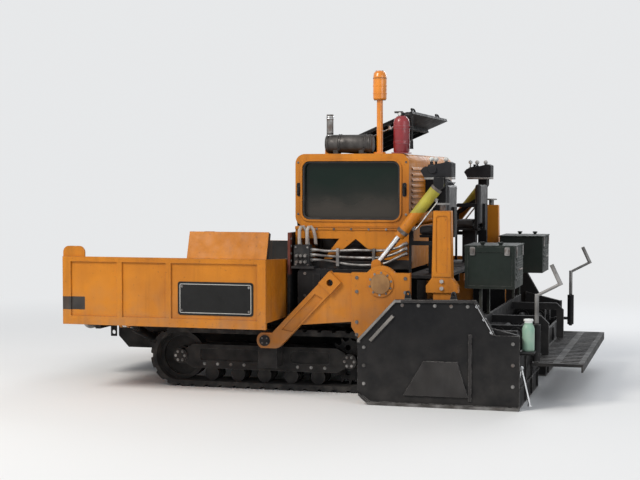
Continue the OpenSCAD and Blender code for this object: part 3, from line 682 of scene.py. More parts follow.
def prism(bm, outline, span, axis="Y", holes=()):
    """Plate with holes: its outlines lie across the axis, and the span runs along it."""
    along = Vector([float(axis == a) for a in "XYZ"])
    edges = []
    for loop in (outline, *holes):
        corners = [{"X": (span[0], u, v), "Y": (u, span[0], v), "Z": (u, v, span[0])}[axis] for u, v in loop]
        ring = [bm.verts.new(corner) for corner in corners]
        edges += [bm.edges.new(pair) for pair in zip(ring, ring[1:] + ring[:1])]
    filled = bmesh.ops.triangle_fill(bm, edges=edges, use_beauty=True, normal=along)["geom"]
    faces = [g for g in filled if isinstance(g, bmesh.types.BMFace)]
    grown = bmesh.ops.extrude_face_region(bm, geom=faces)["geom"]
    bmesh.ops.translate(bm, vec=along * (span[1] - span[0]),
                        verts=[g for g in grown if isinstance(g, bmesh.types.BMVert)])


def lathe(bm, at, axis, profile, sides=32, ring=False):
    """Solid turned round an axis through a point, from pairs of radius and distance, or an open ring."""
    matrix = turned_to(axis, at)
    turns = [2 * math.pi * k / sides for k in range(sides)]
    skin(bm, [[bm.verts.new(matrix @ Vector((r * math.cos(a), r * math.sin(a), d))) for a in turns]
              for r, d in profile], ring)


def band(bm, at, axis, radii, depth, sides=40):
    """Open ring with a square section."""
    lathe(bm, at, axis, ((radii[0], 0), (radii[1], 0), (radii[1], depth), (radii[0], depth)), sides, True)


def line_loop(bm, x, z, radius, width, y):
    """Thin raised line round a rectangle with round corners."""
    outer = rounded_outline(x, z, radius)
    inner = rounded_outline(inset(x, width), inset(z, width), radius - width)
    skin(bm, [[bm.verts.new((u, at, v)) for u, v in outline]
              for outline, at in ((outer, y[0]), (outer, y[1]), (inner, y[1]), (inner, y[0]))], True)


# Hopper wings: recessed side with its frame, floor, end walls, rear guard, front ear, ribs and hinges
WING_SIDE = (WING_FACE - PLATE, WING_FACE)
WING_INNER, FLOOR_Z = 0.535, (0.600, 0.616)
WING_BAYS = ((0.292, 1.010), (1.055, 1.430), (1.475, 1.878))
GUARD_X, GUARD_TOP = (WING_LOW.x, 0.880), WING_HIGH.z
HINGE_YZ, CYLINDER_EYE = (0.500, 0.600), (1.150, 0.520)


def wing_walls(bm):
    x, z, side = WING_X, WING_Z, WING_SIDE
    ear = arc((x[1] - 0.05, 1.135), 0.05, 0, 90) + arc((x[1] - 0.14, 1.135), 0.05, 90, 180)
    prism(bm, [(x[0], z[0]), (x[1], z[0]), *ear, (x[1] - 0.19, z[1]), (x[0], z[1])], side)
    bays = [rect(bay, (z[0] + 0.07, z[1] - 0.04)) for bay in WING_BAYS]
    prism(bm, rect(x, z), (side[1], WING_HIGH.y), holes=bays)
    brick(bm, x, (WING_INNER, side[0]), FLOOR_Z)
    foot = [(WING_INNER, FLOOR_Z[1]), (side[0], FLOOR_Z[1])]
    prism(bm, foot + [(side[0], z[1] - 0.001), (WING_INNER, z[1] - 0.05)], (x[0], x[0] + PLATE), "X")
    prism(bm, foot + [(side[0], z[1] - 0.03), (1.480, 0.900), (WING_INNER, 0.760)], (x[1] - PLATE, x[1]), "X")


def wing_guard(bm):
    top = [(1.515, GUARD_TOP), (1.499, GUARD_TOP - 0.005)]
    prism(bm, [(WING_SIDE[0], WING_Z[1]), (WING_SIDE[1], WING_Z[1]), *top], GUARD_X, "X")
    for x in (GUARD_X[0] + 0.001, GUARD_X[1] - 0.013):
        prism(bm, [(WING_SIDE[0] - 0.048, WING_Z[1]), (WING_SIDE[0], WING_Z[1]), (1.500, GUARD_TOP - 0.006),
                   (1.462, GUARD_TOP - 0.016)], (x, x + 0.012), "X")


def wing_underside(bm):
    inner, outer = WING_INNER + 0.03, WING_SIDE[0]
    for x in (0.550, 1.060, 1.500):
        prism(bm, [(inner, FLOOR_Z[0]), (outer, FLOOR_Z[0]), (outer, 0.560), (outer - 0.16, 0.560),
                   (inner, FLOOR_Z[0] - 0.02)], (x, x + 0.012), "X")
    for x in (0.370, 0.870, 1.370, 1.870):
        band(bm, (x, *HINGE_YZ), FORWARD, (0.0185, 0.030), 0.1, 24)
        brick(bm, (x, x + 0.1), (HINGE_YZ[0] + 0.028, WING_INNER), FLOOR_Z)
    for x in (1.560, 1.625):
        prism(bm, [(1.112, FLOOR_Z[0]), *arc(CYLINDER_EYE, 0.038, 180, 360, 12), (1.188, FLOOR_Z[0])],
              (x, x + 0.015), "X")


@pair("orange_paint", "hopper_wing_{}", soft=0.003, node="hopper_wing_{}")
def wing_shell(bm):
    wing_walls(bm)
    wing_guard(bm)
    wing_underside(bm)


# Sign plate on the left hopper side, with no lettering
SIGN_X, SIGN_Z = (0.325, 0.955), (0.650, 0.915)


@single("black_paint", "hopper_wing_left", finish="sign_black")
def sign_plate(bm):
    prism(bm, rounded_outline(SIGN_X, SIGN_Z, 0.022), (WING_FACE + 0.0003, WING_FACE + 0.0045))


@single("black_paint", "hopper_wing_left", finish="sign_line")
def sign_outline(bm):
    line_loop(bm, inset(SIGN_X, 0.016), inset(SIGN_Z, 0.016), 0.014, 0.006,
              (WING_FACE + 0.0044, WING_FACE + 0.0056))


@single("worn_steel", "hopper_wing_left")
def sign_bolts(bm):
    bolts(bm, WING_FACE + 0.0045, product(inset(SIGN_X, 0.035), inset(SIGN_Z, 0.038)), 0.014)


# Tow arms: beam from the tow point, its square end, the web, the plate to the screed, boss and cylinder lugs
TOW, KNEE = Vector((0.330, 0.430)), Vector((0.245, 0.430))
ARM_TOP, BOSS = Vector((-0.211, 0.905)), (-0.622, 0.905)
ARM_IN, ARM_FACE, BOSS_FACE = 1.220, 1.280, 1.2975
ARM_HALF, PIN_R = 0.062, 0.0303


def arm_beam():
    """Outline of the beam, with its round eye and its knee."""
    along = (ARM_TOP - KNEE).normalized()
    side = Vector((along.y, -along.x)) * ARM_HALF
    rise = (ARM_HALF - side.y) / along.y
    end = ARM_TOP - along * 0.05
    lean = math.degrees(math.atan2(-side.y, -side.x))
    return [*arc(TOW, 0.070, -62, 62, 12), KNEE + side + along * rise, end + side, end - side,
            *arc(KNEE, ARM_HALF, lean, -90)]


@pair("orange_paint", "screed", soft=0.003, node="tow_arm_{}")
def arm_plates(bm):
    eye, core = circle(TOW, PIN_R), ARM_FACE - 0.014
    pocket = [(0.100, 0.505), (0.190, 0.522), (-0.085, 0.812), (-0.150, 0.780)]
    prism(bm, arm_beam(), (ARM_IN, core), holes=[eye])
    prism(bm, arm_beam(), (core, ARM_FACE), holes=[eye, pocket])
    square = [ARM_TOP + Vector(p) for p in arc((0, 0), 0.0933, -2, 268, 3)]
    prism(bm, square, (ARM_IN - 0.004, ARM_FACE + 0.014), holes=[circle(ARM_TOP, 0.027)])
    prism(bm, [(-0.150, 0.880), (-0.240, 0.985), (-0.400, 0.980), (-0.400, 0.600), (0.060, 0.560)],
          (ARM_IN + 0.012, ARM_FACE - 0.016), holes=[circle(ARM_TOP, 0.027)])
    prism(bm, [(-0.385, 0.990), *arc(BOSS, 0.140, 37.4, 142.6, 16), (-0.855, 0.990), (-0.855, 0.760),
               (-1.250, 0.760), (-1.250, 0.430), (-0.470, 0.430), (-0.385, 0.560)], (ARM_IN, ARM_FACE))
    lathe(bm, (BOSS[0], ARM_FACE, BOSS[1]), LEFT,
          ((0.105, 0), (0.105, 0.008), (0.078, 0.008), (0.078, 0.018)), 40)
    lug = [(-0.600, 0.945), (-0.520, 0.945), *arc((-0.560, 1.050), 0.040, 0, 180, 14)]
    for y in (1.095, 1.157):
        prism(bm, lug, (y, y + 0.018))
    brick(bm, (-0.600, -0.520), (1.095, ARM_IN), (0.940, 0.980))


# Track frames: rail with its pockets, sprocket, idler, rollers, tow bracket and pin
TRACK_LOW, TRACK_HIGH = node_box("track_left")
TRACK_Y, TRACK_INNER_R = (TRACK_LOW.y + TRACK_HIGH.y) / 2, 0.200
TRACK_ENDS = ((TRACK_LOW.x + 0.249, 0.250), (TRACK_HIGH.x - 0.249, 0.250))
HUB_FACE, RAIL_FACE = 1.050, 1.030


def sprocket(bm, centre, teeth=17, root=0.162):
    tip = TRACK_INNER_R - 0.002
    tooth = ((root, -5.2), (tip, -1.5), (tip, 1.5), (root, 5.2))
    outline = [polar(centre, radius, 360 * k / teeth + angle)
               for k in range(teeth) for radius, angle in tooth]
    holes = [circle(polar(centre, 0.108, 72 * k), 0.024, 20) for k in range(5)]
    prism(bm, outline, about(TRACK_Y, 0.028), holes=holes)


def idler(bm, centre, half=0.060, rim=0.1995):
    web, hub = 0.020, 0.076
    profile = [(hub, -half), (hub, -web), (rim - 0.034, -web), (rim - 0.034, -half), (rim, -half)]
    lathe(bm, (centre[0], TRACK_Y, centre[1]), LEFT, profile + [(r, -y) for r, y in profile[::-1]], 48)


@pair(SLOTS["track_frame_left"], soft=0.002, node="track_frame_{}")
def undercarriage(bm):
    rail = [(-0.270, 0.190), (-0.200, 0.150), (1.040, 0.150), (1.110, 0.190), (1.110, 0.310), (1.040, 0.350),
            (-0.200, 0.350), (-0.270, 0.310)]
    pockets = [rounded_outline(x, (0.215, 0.315), 0.024) for x in ((-0.140, 0.190), (0.470, 0.980))]
    prism(bm, rail, (TRACK_Y - 0.1, RAIL_FACE - 0.016))
    prism(bm, rail, (RAIL_FACE - 0.016, RAIL_FACE), holes=pockets)
    sprocket(bm, TRACK_ENDS[0])
    idler(bm, TRACK_ENDS[1])
    for x, z in TRACK_ENDS:
        disc(bm, (x, TRACK_Y - 0.1, z), LEFT, 0.060, HUB_FACE - TRACK_Y + 0.1, 32)
    roller = ((0.060, -0.09), (0.060, -0.03), (0.046, -0.03), (0.046, 0.03), (0.060, 0.03), (0.060, 0.09))
    for x in spread(-0.040, 0.880, 5):
        lathe(bm, (x, TRACK_Y, 0.1103), LEFT, roller, 28)
    disc(bm, (TOW.x, TRACK_Y - 0.09, 0.4077), LEFT, 0.042, 0.18, 28)
    brick(bm, (0.310, 0.350), (0.870, 0.990), (0.340, 0.400))
    brick(bm, (0.251, 0.409), (RAIL_FACE, 1.090), (0.201, 0.380))
    prism(bm, [(0.250, 0.200), (0.410, 0.200), *arc(TOW, 0.075, 0, 180, 18)], (1.090, 1.212))
    disc(bm, (TOW.x, 1.210, TOW.y), LEFT, 0.030, 0.082, 32)
    disc(bm, (TOW.x, 1.285, TOW.y), LEFT, 0.045, 0.010, 32)


# End gates: plate with the rim, stay, post and wedge raised on it, ski and the two lifting eyes
GATE_RAISED = (
    ((-0.510, 0.470), (-0.510, 0.500), (-0.800, 0.810), (-1.420, 0.820), (-1.570, 0.560), (-1.548, 0.560),
     (-1.409, 0.799), (-0.809, 0.789), (-0.532, 0.492), (-0.532, 0.470)),
    ((-0.600, 0.500), (-0.620, 0.484), (-0.800, 0.680), (-0.780, 0.696)),
    ((-1.368, 0.060), (-1.392, 0.060), (-1.392, 0.560), (-1.368, 0.560)),
    ((-1.026, 0.350), (-1.285, 0.350), (-1.367, 0.085), (-0.869, 0.085)))


@pair(SLOTS["end_gate_left"], "end_gate_{}", soft=0.0025, node="end_gate_{}")
def gate_plate(bm):
    prism(bm, [(-1.750, 0.020), (-0.570, 0.020), (-0.510, 0.110), (-0.510, 0.500), (-0.800, 0.810),
               (-1.420, 0.820), (-1.570, 0.560), (-1.750, 0.560)], (GATE_LOW.y, GATE_FACE))
    for outline in GATE_RAISED:
        prism(bm, outline, (GATE_FACE, GATE_OUT))
    prism(bm, [(-1.750, 0), (-0.600, 0), (-0.520, 0.070), (-0.520, 0.090), (-0.610, 0.025), (-1.750, 0.025)],
          (GATE_LOW.y + 0.0005, GATE_HIGH.y))
    for x in (-1.250, -0.900):
        prism(bm, [(x - 0.030, 0.800), (x + 0.030, 0.800), *arc((x, 0.862), 0.018, 0, 180)], (1.542, 1.570),
              holes=[circle((x, 0.855), 0.009, 16)])


# Bolts of the track frames, the tow arms, the gates, the panels, the screed and the bulkhead
SCREED_FRONT = node_box("screed_body")[1].x
BULKHEAD_REAR = node_box("bulkhead")[0].x


def ring_of_bolts(bm, centre, radius, count, y, size, start=0.0):
    for k in range(count):
        a = start + 2 * math.pi * k / count
        hex_bolt(bm, (centre[0] + radius * math.cos(a), y, centre[1] + radius * math.sin(a)), LEFT, size)


@pair("worn_steel", "screed")
def arm_bolts(bm):
    ring_of_bolts(bm, BOSS, 0.088, 10, BOSS_FACE - 0.010, 0.013, 0.39)
    bolts(bm, ARM_FACE, ((-0.43, 0.95), (-0.43, 0.84), (-0.82, 0.95), (-0.82, 0.84), (-1.20, 0.68),
                         (-1.08, 0.68), (-0.96, 0.68), (-0.43, 0.60), (-0.43, 0.50)), 0.020)


@pair("worn_steel")
def track_bolts(bm):
    for centre in TRACK_ENDS:
        ring_of_bolts(bm, centre, 0.040, 6, HUB_FACE, 0.016)
    bolts(bm, RAIL_FACE, [(x, 0.188) for x in spread(-0.10, 0.94, 10) if abs(x - TOW.x) > 0.15], 0.018)


@pair("worn_steel")
def tow_bolts(bm):
    ring_of_bolts(bm, TOW, 0.028, 4, 1.295, 0.009, 0.785)


@pair("worn_steel", "end_gate_{}")
def gate_bolts(bm):
    places = (*product(spread(-1.36, -0.86, 5), (0.770,)), *product((-1.70,), (0.50, 0.34, 0.18)),
              *product((-0.56,), (0.44, 0.30, 0.16)))
    bolts(bm, GATE_FACE, places, 0.019)


@pair("worn_steel")
def panel_bolts(bm):
    bolts(bm, HOOD_FACE + 0.010, product(spread(-0.74, 0.13, 7), (1.319,)), 0.013)
    bolts(bm, HOOD_FACE, product((-0.755, 0.145), (1.44, 1.86)), 0.013)
    for z in spread(1.06, 1.24, 4):
        hex_bolt(bm, (BULKHEAD_REAR, 1.055, z), -FORWARD, 0.016)


@pair("worn_steel", "screed")
def screed_bolts(bm):
    for y, z in product(spread(0.12, 1.12, 9), (0.09, 0.40)):
        hex_bolt(bm, (SCREED_FRONT, y, z), FORWARD, 0.020)


# Housing: window with its seal and frame, louvres in the front and rear walls, latches
WINDOW_X, WINDOW_Z = (-0.705, 0.110), (1.395, 1.870)


@pair("hose_rubber")
def window_seal(bm):
    line_loop(bm, inset(WINDOW_X, 0.001), inset(WINDOW_Z, 0.001), 0.059, 0.014, (0.922, 0.958))


@pair("orange_paint", soft=0.002)
def window_frame(bm):
    raised = (HOOD_FACE, HOOD_FACE + 0.010)
    prism(bm, rounded_outline(inset(WINDOW_X, -0.016), inset(WINDOW_Z, -0.016), 0.076), raised,
          holes=[rounded_outline(WINDOW_X, WINDOW_Z, 0.060)])
    prism(bm, rect(HOOD_X, (1.314, 1.340)), raised, holes=[rect(inset(HOOD_X, 0.040), (1.326, 1.332))])


def louvre_places():
    """Wall, way out of it, height and span of each louvre."""
    for wall, out, near, far in ((HOOD_X[1], 1, 0.12, 0.78), (HOOD_X[0], -1, 0.36, 0.86)):
        for z, span in product(spread(1.430, 1.798, 9), ((-far, -near), (near, far))):
            yield wall, out, z, span


@single("orange_paint")
def louvres(bm, deep=0.010, high=0.024):
    """Pressed hoods that open downwards."""
    for wall, out, z, span in louvre_places():
        prism(bm, [(wall, z + high), (wall + out * deep, z + high * 0.30), (wall + out * deep, z),
                   (wall + out * (deep - 0.002), z), (wall + out * (deep - 0.003), z + high * 0.25),
                   (wall, z + high * 0.85)], span)


# Black strips under the louvre hoods stand for the dark openings: painted shade
@single("black_paint", finish="sign_black")
def louvre_shade_strips(bm):
    for wall, out, z, span in louvre_places():
        brick(bm, sorted((wall, wall + out * 0.001)), span, (z - 0.002, z + 0.019))


@pair("black_paint")
def hood_latches(bm):
    face = HOOD_FACE + 0.006
    for x in (-0.743, 0.140):
        prism(bm, rounded_outline(about(x, 0.016), (1.585, 1.695), 0.012), (HOOD_FACE - 0.0005, face))
        disc(bm, (x, face, 1.668), LEFT, 0.009, 0.006, 16)
        brick(bm, about(x, 0.006), (face, face + 0.018), (1.60, 1.664), 0.004)


# Lid: frame with its handles, edge bolts and the stowed prop, drawn in the lid's own axes
LID_HINGE, LID_TILT = Vector((-0.040, 0, 1.955)), math.radians(23)
LID = Matrix.Translation(LID_HINGE) @ Matrix.Rotation(LID_TILT, 4, "Y")


@single("black_paint", "hood_lid", soft=0.002, place=LID)
def lid_frame(bm):
    brick(bm, (-0.720, -0.070), (-0.700, 0.700), (0.014, 0.026))
    for y in spread(-0.660, 0.660, 5):
        brick(bm, (-0.610, -0.080), about(y, 0.012), (-0.046, -0.010))
    for x in (-0.610, -0.104):
        brick(bm, (x, x + 0.024), (-0.672, 0.672), (-0.0455, -0.010))
    handle = ((-0.055, 0.014), (-0.055, 0.045), (-0.045, 0.056), (0.045, 0.056), (0.055, 0.045),
              (0.055, 0.014))
    for middle in (-0.530, 0.530):
        tube(bm, [(-0.759, middle + y, z) for y, z in handle], 0.008, 12)


@pair("worn_steel", "hood_lid", place=LID)
def lid_bolts(bm):
    for x, y in (*product(spread(-0.700, -0.090, 6), (0.735,)), *product((-0.745,), (0.10, 0.36, 0.62))):
        hex_bolt(bm, (x, y, 0.014), UP, 0.014)


@single("rod_chrome", "hood_lid", place=LID)
def lid_prop(bm):
    bends = ((-0.640, -0.018), (-0.610, -0.032), (-0.250, -0.036), (-0.220, -0.020))
    tube(bm, [(x, 0.712, z) for x, z in bends], 0.008, 12)
    for x in (-0.560, -0.300):
        brick(bm, about(x, 0.010), (0.698, 0.726), (-0.046, -0.0095), 0.003)


# Roof: silencer with its clamps and tail pipe, mast with the beacon, extinguisher with its valve and hose
SILENCER = (0.870, 2.012, 0.074)
TAIL_PIPE = (-0.100, 0.870)
ROOF = node_box("extinguisher")[0].z
MAST_FOOT = Vector((-0.520, 0.880, ROOF))
BEACON = MAST_FOOT + 0.430 * UP
EXTINGUISHER = Vector((-0.700, 0.880, ROOF + 0.010))
BOTTLE_TOP = EXTINGUISHER + 0.322 * UP


@single("worn_steel", soft=0.001)
def silencer(bm):
    y, z, radius = SILENCER
    lathe(bm, (0, y, z), FORWARD, ((0.052, -0.465), (0.068, -0.462), (radius, -0.452), (radius, -0.083),
                                   (0.068, -0.073), (0.052, -0.070)), 40)
    for x in (-0.447, -0.100):
        lathe(bm, (x, y, z), FORWARD, ((radius - 0.002, 0), (radius + 0.005, 0.001), (radius + 0.005, 0.011),
                                       (radius - 0.002, 0.012)), 40, True)
    for x in (-0.395, -0.180):
        prism(bm, [(y - 0.050, ROOF), (y + 0.050, ROOF), (y + 0.056, z - 0.030), (y - 0.056, z - 0.030)],
              (x, x + 0.040), "X")
    band(bm, (*TAIL_PIPE, z), UP, (0.024, 0.028), 0.240, 32)


@single(SLOTS["beacon_mast"], node="beacon_mast")
def mast_and_beacon(bm):
    lathe(bm, MAST_FOOT, UP, ((0.050, 0), (0.050, 0.012), (0.025, 0.014), (0.025, 0.431)), 32)
    lathe(bm, BEACON, UP, ((0.044, 0), (0.055, 0.014), (0.055, 0.180), (0.050, 0.218), (0.036, 0.235),
                           (0.020, 0.240)), 40)
    ring = ((0.054, 0), (0.057, 0.002), (0.057, 0.012), (0.054, 0.014))
    for z in (0.050, 0.110):
        lathe(bm, BEACON + z * UP, UP, ring, 40, True)


@single(SLOTS["extinguisher"], node="extinguisher")
def fire_bottle(bm):
    lathe(bm, EXTINGUISHER, UP, ((0.060, 0), (0.065, 0.008), (0.065, 0.240), (0.058, 0.268), (0.040, 0.288),
                                 (0.020, 0.296), (0.020, 0.322)), 40)
    for height in (0.070, 0.190):
        band(bm, EXTINGUISHER + height * UP, UP, (0.064, 0.068), 0.022)
    x, y, z = EXTINGUISHER
    brick(bm, (x - 0.012, x + 0.058), about(y, 0.010), (z + 0.315, z + 0.331), 0.003)
    brick(bm, (x - 0.062, x + 0.002), about(y, 0.007), (z + 0.300, z + 0.310), 0.003)
    brick(bm, about(x, 0.070), about(y, 0.060), (ROOF, ROOF + 0.010), 0.002)


@single("worn_steel")
def silencer_clamps(bm):
    y, z, radius = SILENCER
    for x in (-0.400, -0.190):
        for side in (x - 0.008, x + 0.008):
            tube(bm, [(side, *p) for p in arc((y, z), radius + 0.003, -40, 220, 14)], 0.004, 6, 1)
        hex_bolt(bm, (x, y + radius * 0.80 + 0.008, z - radius * 0.62), (0, 0.8, -0.6), 0.018)


@single("rod_chrome")
def pipe_tip(bm):
    for z in (2.232, 2.220, 2.082):
        tube(bm, [(*p, z) for p in arc(TAIL_PIPE, 0.0305, 0, 360, 12)], 0.0045, 8, 2)


@single("black_paint")
def beacon_rings(bm):
    for z, radius in ((0.003, 0.046), (0.178, 0.0545)):
        tube(bm, [(*p, BEACON.z + z) for p in arc(BEACON, radius, 0, 360, 18)], 0.0028, 6, 1)
    for p in arc(BEACON, 0.030, 30, 270, 2):
        disc(bm, (*p, BEACON.z + 0.236), UP, 0.004, 0.004, 8)


@single("black_paint")
def extinguisher_fittings(bm):
    disc(bm, BOTTLE_TOP - 0.030 * UP, UP, 0.026, 0.026, 20)
    disc(bm, BOTTLE_TOP + Vector((0.010, 0.010, -0.014)), LEFT, 0.017, 0.014, 20)
    bends = ((-0.018, -0.004, -0.016), (-0.052, -0.004, -0.006), (-0.082, -0.004, -0.030),
             (-0.086, -0.004, -0.100), (-0.086, 0.000, -0.170), (-0.084, 0.002, -0.225))
    tube(bm, [BOTTLE_TOP + Vector(p) for p in bends], 0.0085, 10, 6)
    disc(bm, BOTTLE_TOP + Vector(bends[-1]), (0.02, 0, -1), 0.012, 0.070, 16, 1.3)
    brick(bm, (BOTTLE_TOP.x - 0.098, BOTTLE_TOP.x - 0.060), (0.872, 0.888), (2.135, 2.147), 0.003)


@single("black_paint", finish="dial_face")
def extinguisher_gauge(bm):
    disc(bm, BOTTLE_TOP + Vector((0.010, 0.0242, -0.014)), LEFT, 0.0135, 0.0015, 20)


# Controls: dials and switches of the centre console, side boxes with their levers, guards and seat arms
DASH_TOP, DASH_FOOT = Vector((-0.840, 0, 1.780)), Vector((-0.950, 0, 1.640))
DASH_NORMAL = Vector((-0.786, 0, 0.618))
DIALS = ((-0.20, 0.030), (-0.10, 0.024), (0.0, 0.034), (0.10, 0.024), (0.20, 0.030))
DIAL_ROW, SWITCH_ROW = 0.36, 0.76
BOX_FOOT, BOX_TOP = Vector((-1.120, 0, 1.862)), Vector((-0.925, 0, 1.818))
BOX_NORMAL = Vector((0.220, 0, 0.975))


def on_dash(share, y, lift=0.0):
    return DASH_TOP.lerp(DASH_FOOT, share) + y * LEFT + DASH_NORMAL * lift


def across_dash(degrees):
    """Direction on the sloping dash, turned from the left upwards."""
    a = math.radians(degrees)
    return LEFT * math.cos(a) + (DASH_TOP - DASH_FOOT).normalized() * math.sin(a)


def on_box(share, y, lift=0.0):
    return BOX_FOOT.lerp(BOX_TOP, share) + y * LEFT + BOX_NORMAL * lift


LEVER_FOOT = on_box(0.86, 0.958, -0.004)


@pair("console_plastic", soft=0.003)
def side_boxes(bm):
    prism(bm, [(-1.150, 1.7403), (-0.930, 1.7403), (-0.900, 1.790), (-0.925, 1.818), (-1.120, 1.862),
               (-1.150, 1.850)], (0.930, 1.110))
    disc(bm, (-1.000, 1.110, 1.800), LEFT, 0.034, 0.012, 32, 0.9)
    for x in (-1.090, -1.010):
        disc(bm, (x, 1.020, 1.830), UP, 0.009, 0.055, 16)
        ball(bm, (x, 1.020, 1.880), 0.020)


@pair("black_paint", soft=0.002)
def deck_guards(bm):
    prism(bm, [(-1.020, 1.200), (-0.800, 1.200), (-0.800, 1.420), (-1.020, 1.560)], (1.040, 1.060),
          holes=[[(-0.990, 1.235), (-0.835, 1.235), (-0.835, 1.395), (-0.990, 1.500)]])
    brick(bm, (-0.820, -0.800), (1.041, 1.059), (0.965, 1.200))
    for y in spread(0.06, 0.54, 9):
        brick(bm, (-1.040, -0.840), about(y, 0.021), (0.965, 0.969))


@pair(SLOTS["seat_frames"], soft=0.004)
def seat_arms(bm):
    for y in ((0.562, 0.598), (1.002, 1.018)):
        prism(bm, [(-1.090, 1.262), (-1.060, 1.262), (-1.060, 1.470), (-0.900, 1.470), (-0.890, 1.488),
                   (-0.905, 1.505), (-1.090, 1.505)], y)
    brick(bm, (-1.090, -1.060), (0.562, 0.621), (1.262, 1.278))


@single("console_plastic")
def dash_bezels(bm):
    for y, radius in DIALS:
        disc(bm, on_dash(DIAL_ROW, y, -0.004), DASH_NORMAL, radius, 0.014, 28, 0.92)
    toggle = ((0.004, 0), (0.014, 0.004), (0.022, 0.010))
    for y in spread(-0.24, 0.24, 9):
        disc(bm, on_dash(SWITCH_ROW, y, -0.002), DASH_NORMAL, 0.011, 0.008, 12)
        tube(bm, [on_dash(SWITCH_ROW, y, lift) + rise * UP for lift, rise in toggle], 0.0035, 8, 2)


@single("console_plastic", finish="dial_face")
def dash_faces(bm):
    for y, radius in DIALS:
        disc(bm, on_dash(DIAL_ROW, y, 0.0095), DASH_NORMAL, radius * 0.80, 0.0015, 28)


@single("console_plastic", finish="sign_black")
def dash_needles(bm):
    for k, (y, radius) in enumerate(DIALS):
        start, tip = on_dash(DIAL_ROW, y, 0.0125), across_dash(50 + 37 * k)
        tube(bm, [start + tip * radius * share for share in (0, 0.35, 0.68)], 0.0012, 6, 1)
        disc(bm, on_dash(DIAL_ROW, y, 0.011), DASH_NORMAL, radius * 0.12, 0.003, 12)
        for mark in spread(-30, 210, 9):
            out = across_dash(mark)
            tube(bm, [start + out * radius * share for share in (0.62, 0.67, 0.73)], 0.0008, 4, 1)


@pair("console_plastic")
def box_switches(bm):
    for share, y in product((0.50, 0.66, 0.82), (0.955, 0.985)):
        disc(bm, on_box(share, y, -0.002), BOX_NORMAL, 0.011, 0.010, 16, 0.9)
    disc(bm, on_box(0.74, 1.055, -0.003), BOX_NORMAL, 0.026, 0.016, 24, 0.85)
    brick(bm, (-0.992, -0.968), (1.049, 1.061), (1.836, 1.862), 0.004)
    for share, y in product((0.12, 0.92), (0.942, 1.098)):
        disc(bm, on_box(share, y, -0.001), BOX_NORMAL, 0.006, 0.004, 10)


@pair("worn_steel")
def travel_lever(bm):
    bends = ((0, 0, 0), (-0.004, -0.004, 0.026), (-0.006, -0.010, 0.052))
    tube(bm, [LEVER_FOOT + Vector(p) for p in bends], 0.006, 10)
    disc(bm, LEVER_FOOT, BOX_NORMAL, 0.020, 0.014, 20, 0.5)


@pair("console_plastic", finish="cap_white")
def travel_knob(bm):
    ball(bm, LEVER_FOOT + Vector((-0.006, -0.010, 0.062)), 0.019)


@pair("worn_steel")
def box_rest(bm):
    brick(bm, (-1.150, -0.930), (0.932, 1.108), (1.722, 1.7395), 0.003)


# Hydraulics and tanks: steel pipes with their fittings and clips, straps, filler caps
VALVE_TOP, VALVE_FACE = 1.190, 1.070
TANK_FACE, FILLER = node_box("side_tanks")[1].y, (-0.210, 0.910)


def pipe_run(bm, points, radius=0.011):
    """Rigid pipe with a fitting at each end."""
    tube(bm, points, radius, 10, 5)
    for end, before in (points[:2], points[:-3:-1]):
        fitting(bm, end, Vector(before) - Vector(end), radius * 1.05)


@pair("worn_steel")
def valve_fittings(bm):
    for x, z in product((0.050, 0.085, 0.120), (1.055, 1.105)):
        fitting(bm, (x, VALVE_FACE, z), LEFT, 0.010)
    bolts(bm, VALVE_FACE, product((0.035, 0.135), (1.032, 1.172)), 0.011)
    for x in (0.050, 0.115):
        fitting(bm, (x, 1.000, VALVE_TOP), UP, 0.011)


@pair("worn_steel")
def valve_pipes(bm):
    for k, (z, y) in enumerate(((1.150, 1.000), (1.110, 1.012), (1.070, 1.000))):
        pipe_run(bm, [(0.020, y + 0.02, z), (-0.030, y + 0.02, z), (-0.12, y - 0.010, z - 0.01),
                      (-0.34, y - 0.012, z - 0.02 * k), (-0.56, y - 0.012, z - 0.015 * k),
                      (-0.68, y - 0.012, z + 0.02), (-0.74, y - 0.020, z + 0.05),
                      (-0.77, y - 0.030, z + 0.06)])
    for x in (-0.20, -0.50):
        brick(bm, about(x, 0.012), (0.9705, 1.012), (1.02, 1.165), 0.003)


@pair(SLOTS["side_tanks"])
def tank_straps(bm):
    for x in (-0.400, -0.070):
        brick(bm, (x, x + 0.060), (TANK_FACE, TANK_FACE + 0.008), (0.600, 0.960), 0.002)
    disc(bm, (FILLER[0], TANK_FACE, FILLER[1]), LEFT, 0.045, 0.028, 32)


@pair("worn_steel")
def tank_caps(bm):
    brick(bm, about(FILLER[0], 0.030), (TANK_FACE + 0.027, TANK_FACE + 0.040), about(FILLER[1], 0.007), 0.004)
    for x, z in circle(FILLER, 0.043, 12):
        disc(bm, (x, TANK_FACE + 0.008, z), LEFT, 0.006, 0.018, 8)
    bolts(bm, TANK_FACE, product((-0.45, 0.06), (0.60, 0.78, 0.96)), 0.016)


# Lift cylinders: end rings, ports and the pipe between them, along each cylinder's own line
LIFT_TOP, LIFT_EYE, LIFT_R = Vector((-1.060, 1.135, 1.680)), Vector((-0.560, 1.135, 1.050)), 0.046
LIFT_ALONG = (LIFT_EYE - LIFT_TOP).normalized()
LIFT_SIDE = LEFT.cross(LIFT_ALONG).normalized()


@pair("worn_steel", "lift_barrel_{}")
def lift_trim(bm):
    for at, radius, wide in ((0.030, 0.0475, 0.022), (0.455, 0.0480, 0.030)):
        disc(bm, LIFT_TOP + LIFT_ALONG * at, LIFT_ALONG, radius, wide, 32)
    for at in (0.110, 0.400):
        disc(bm, LIFT_TOP + LIFT_ALONG * at + LIFT_SIDE * (LIFT_R - 0.004), LIFT_SIDE, 0.016, 0.024, 6)


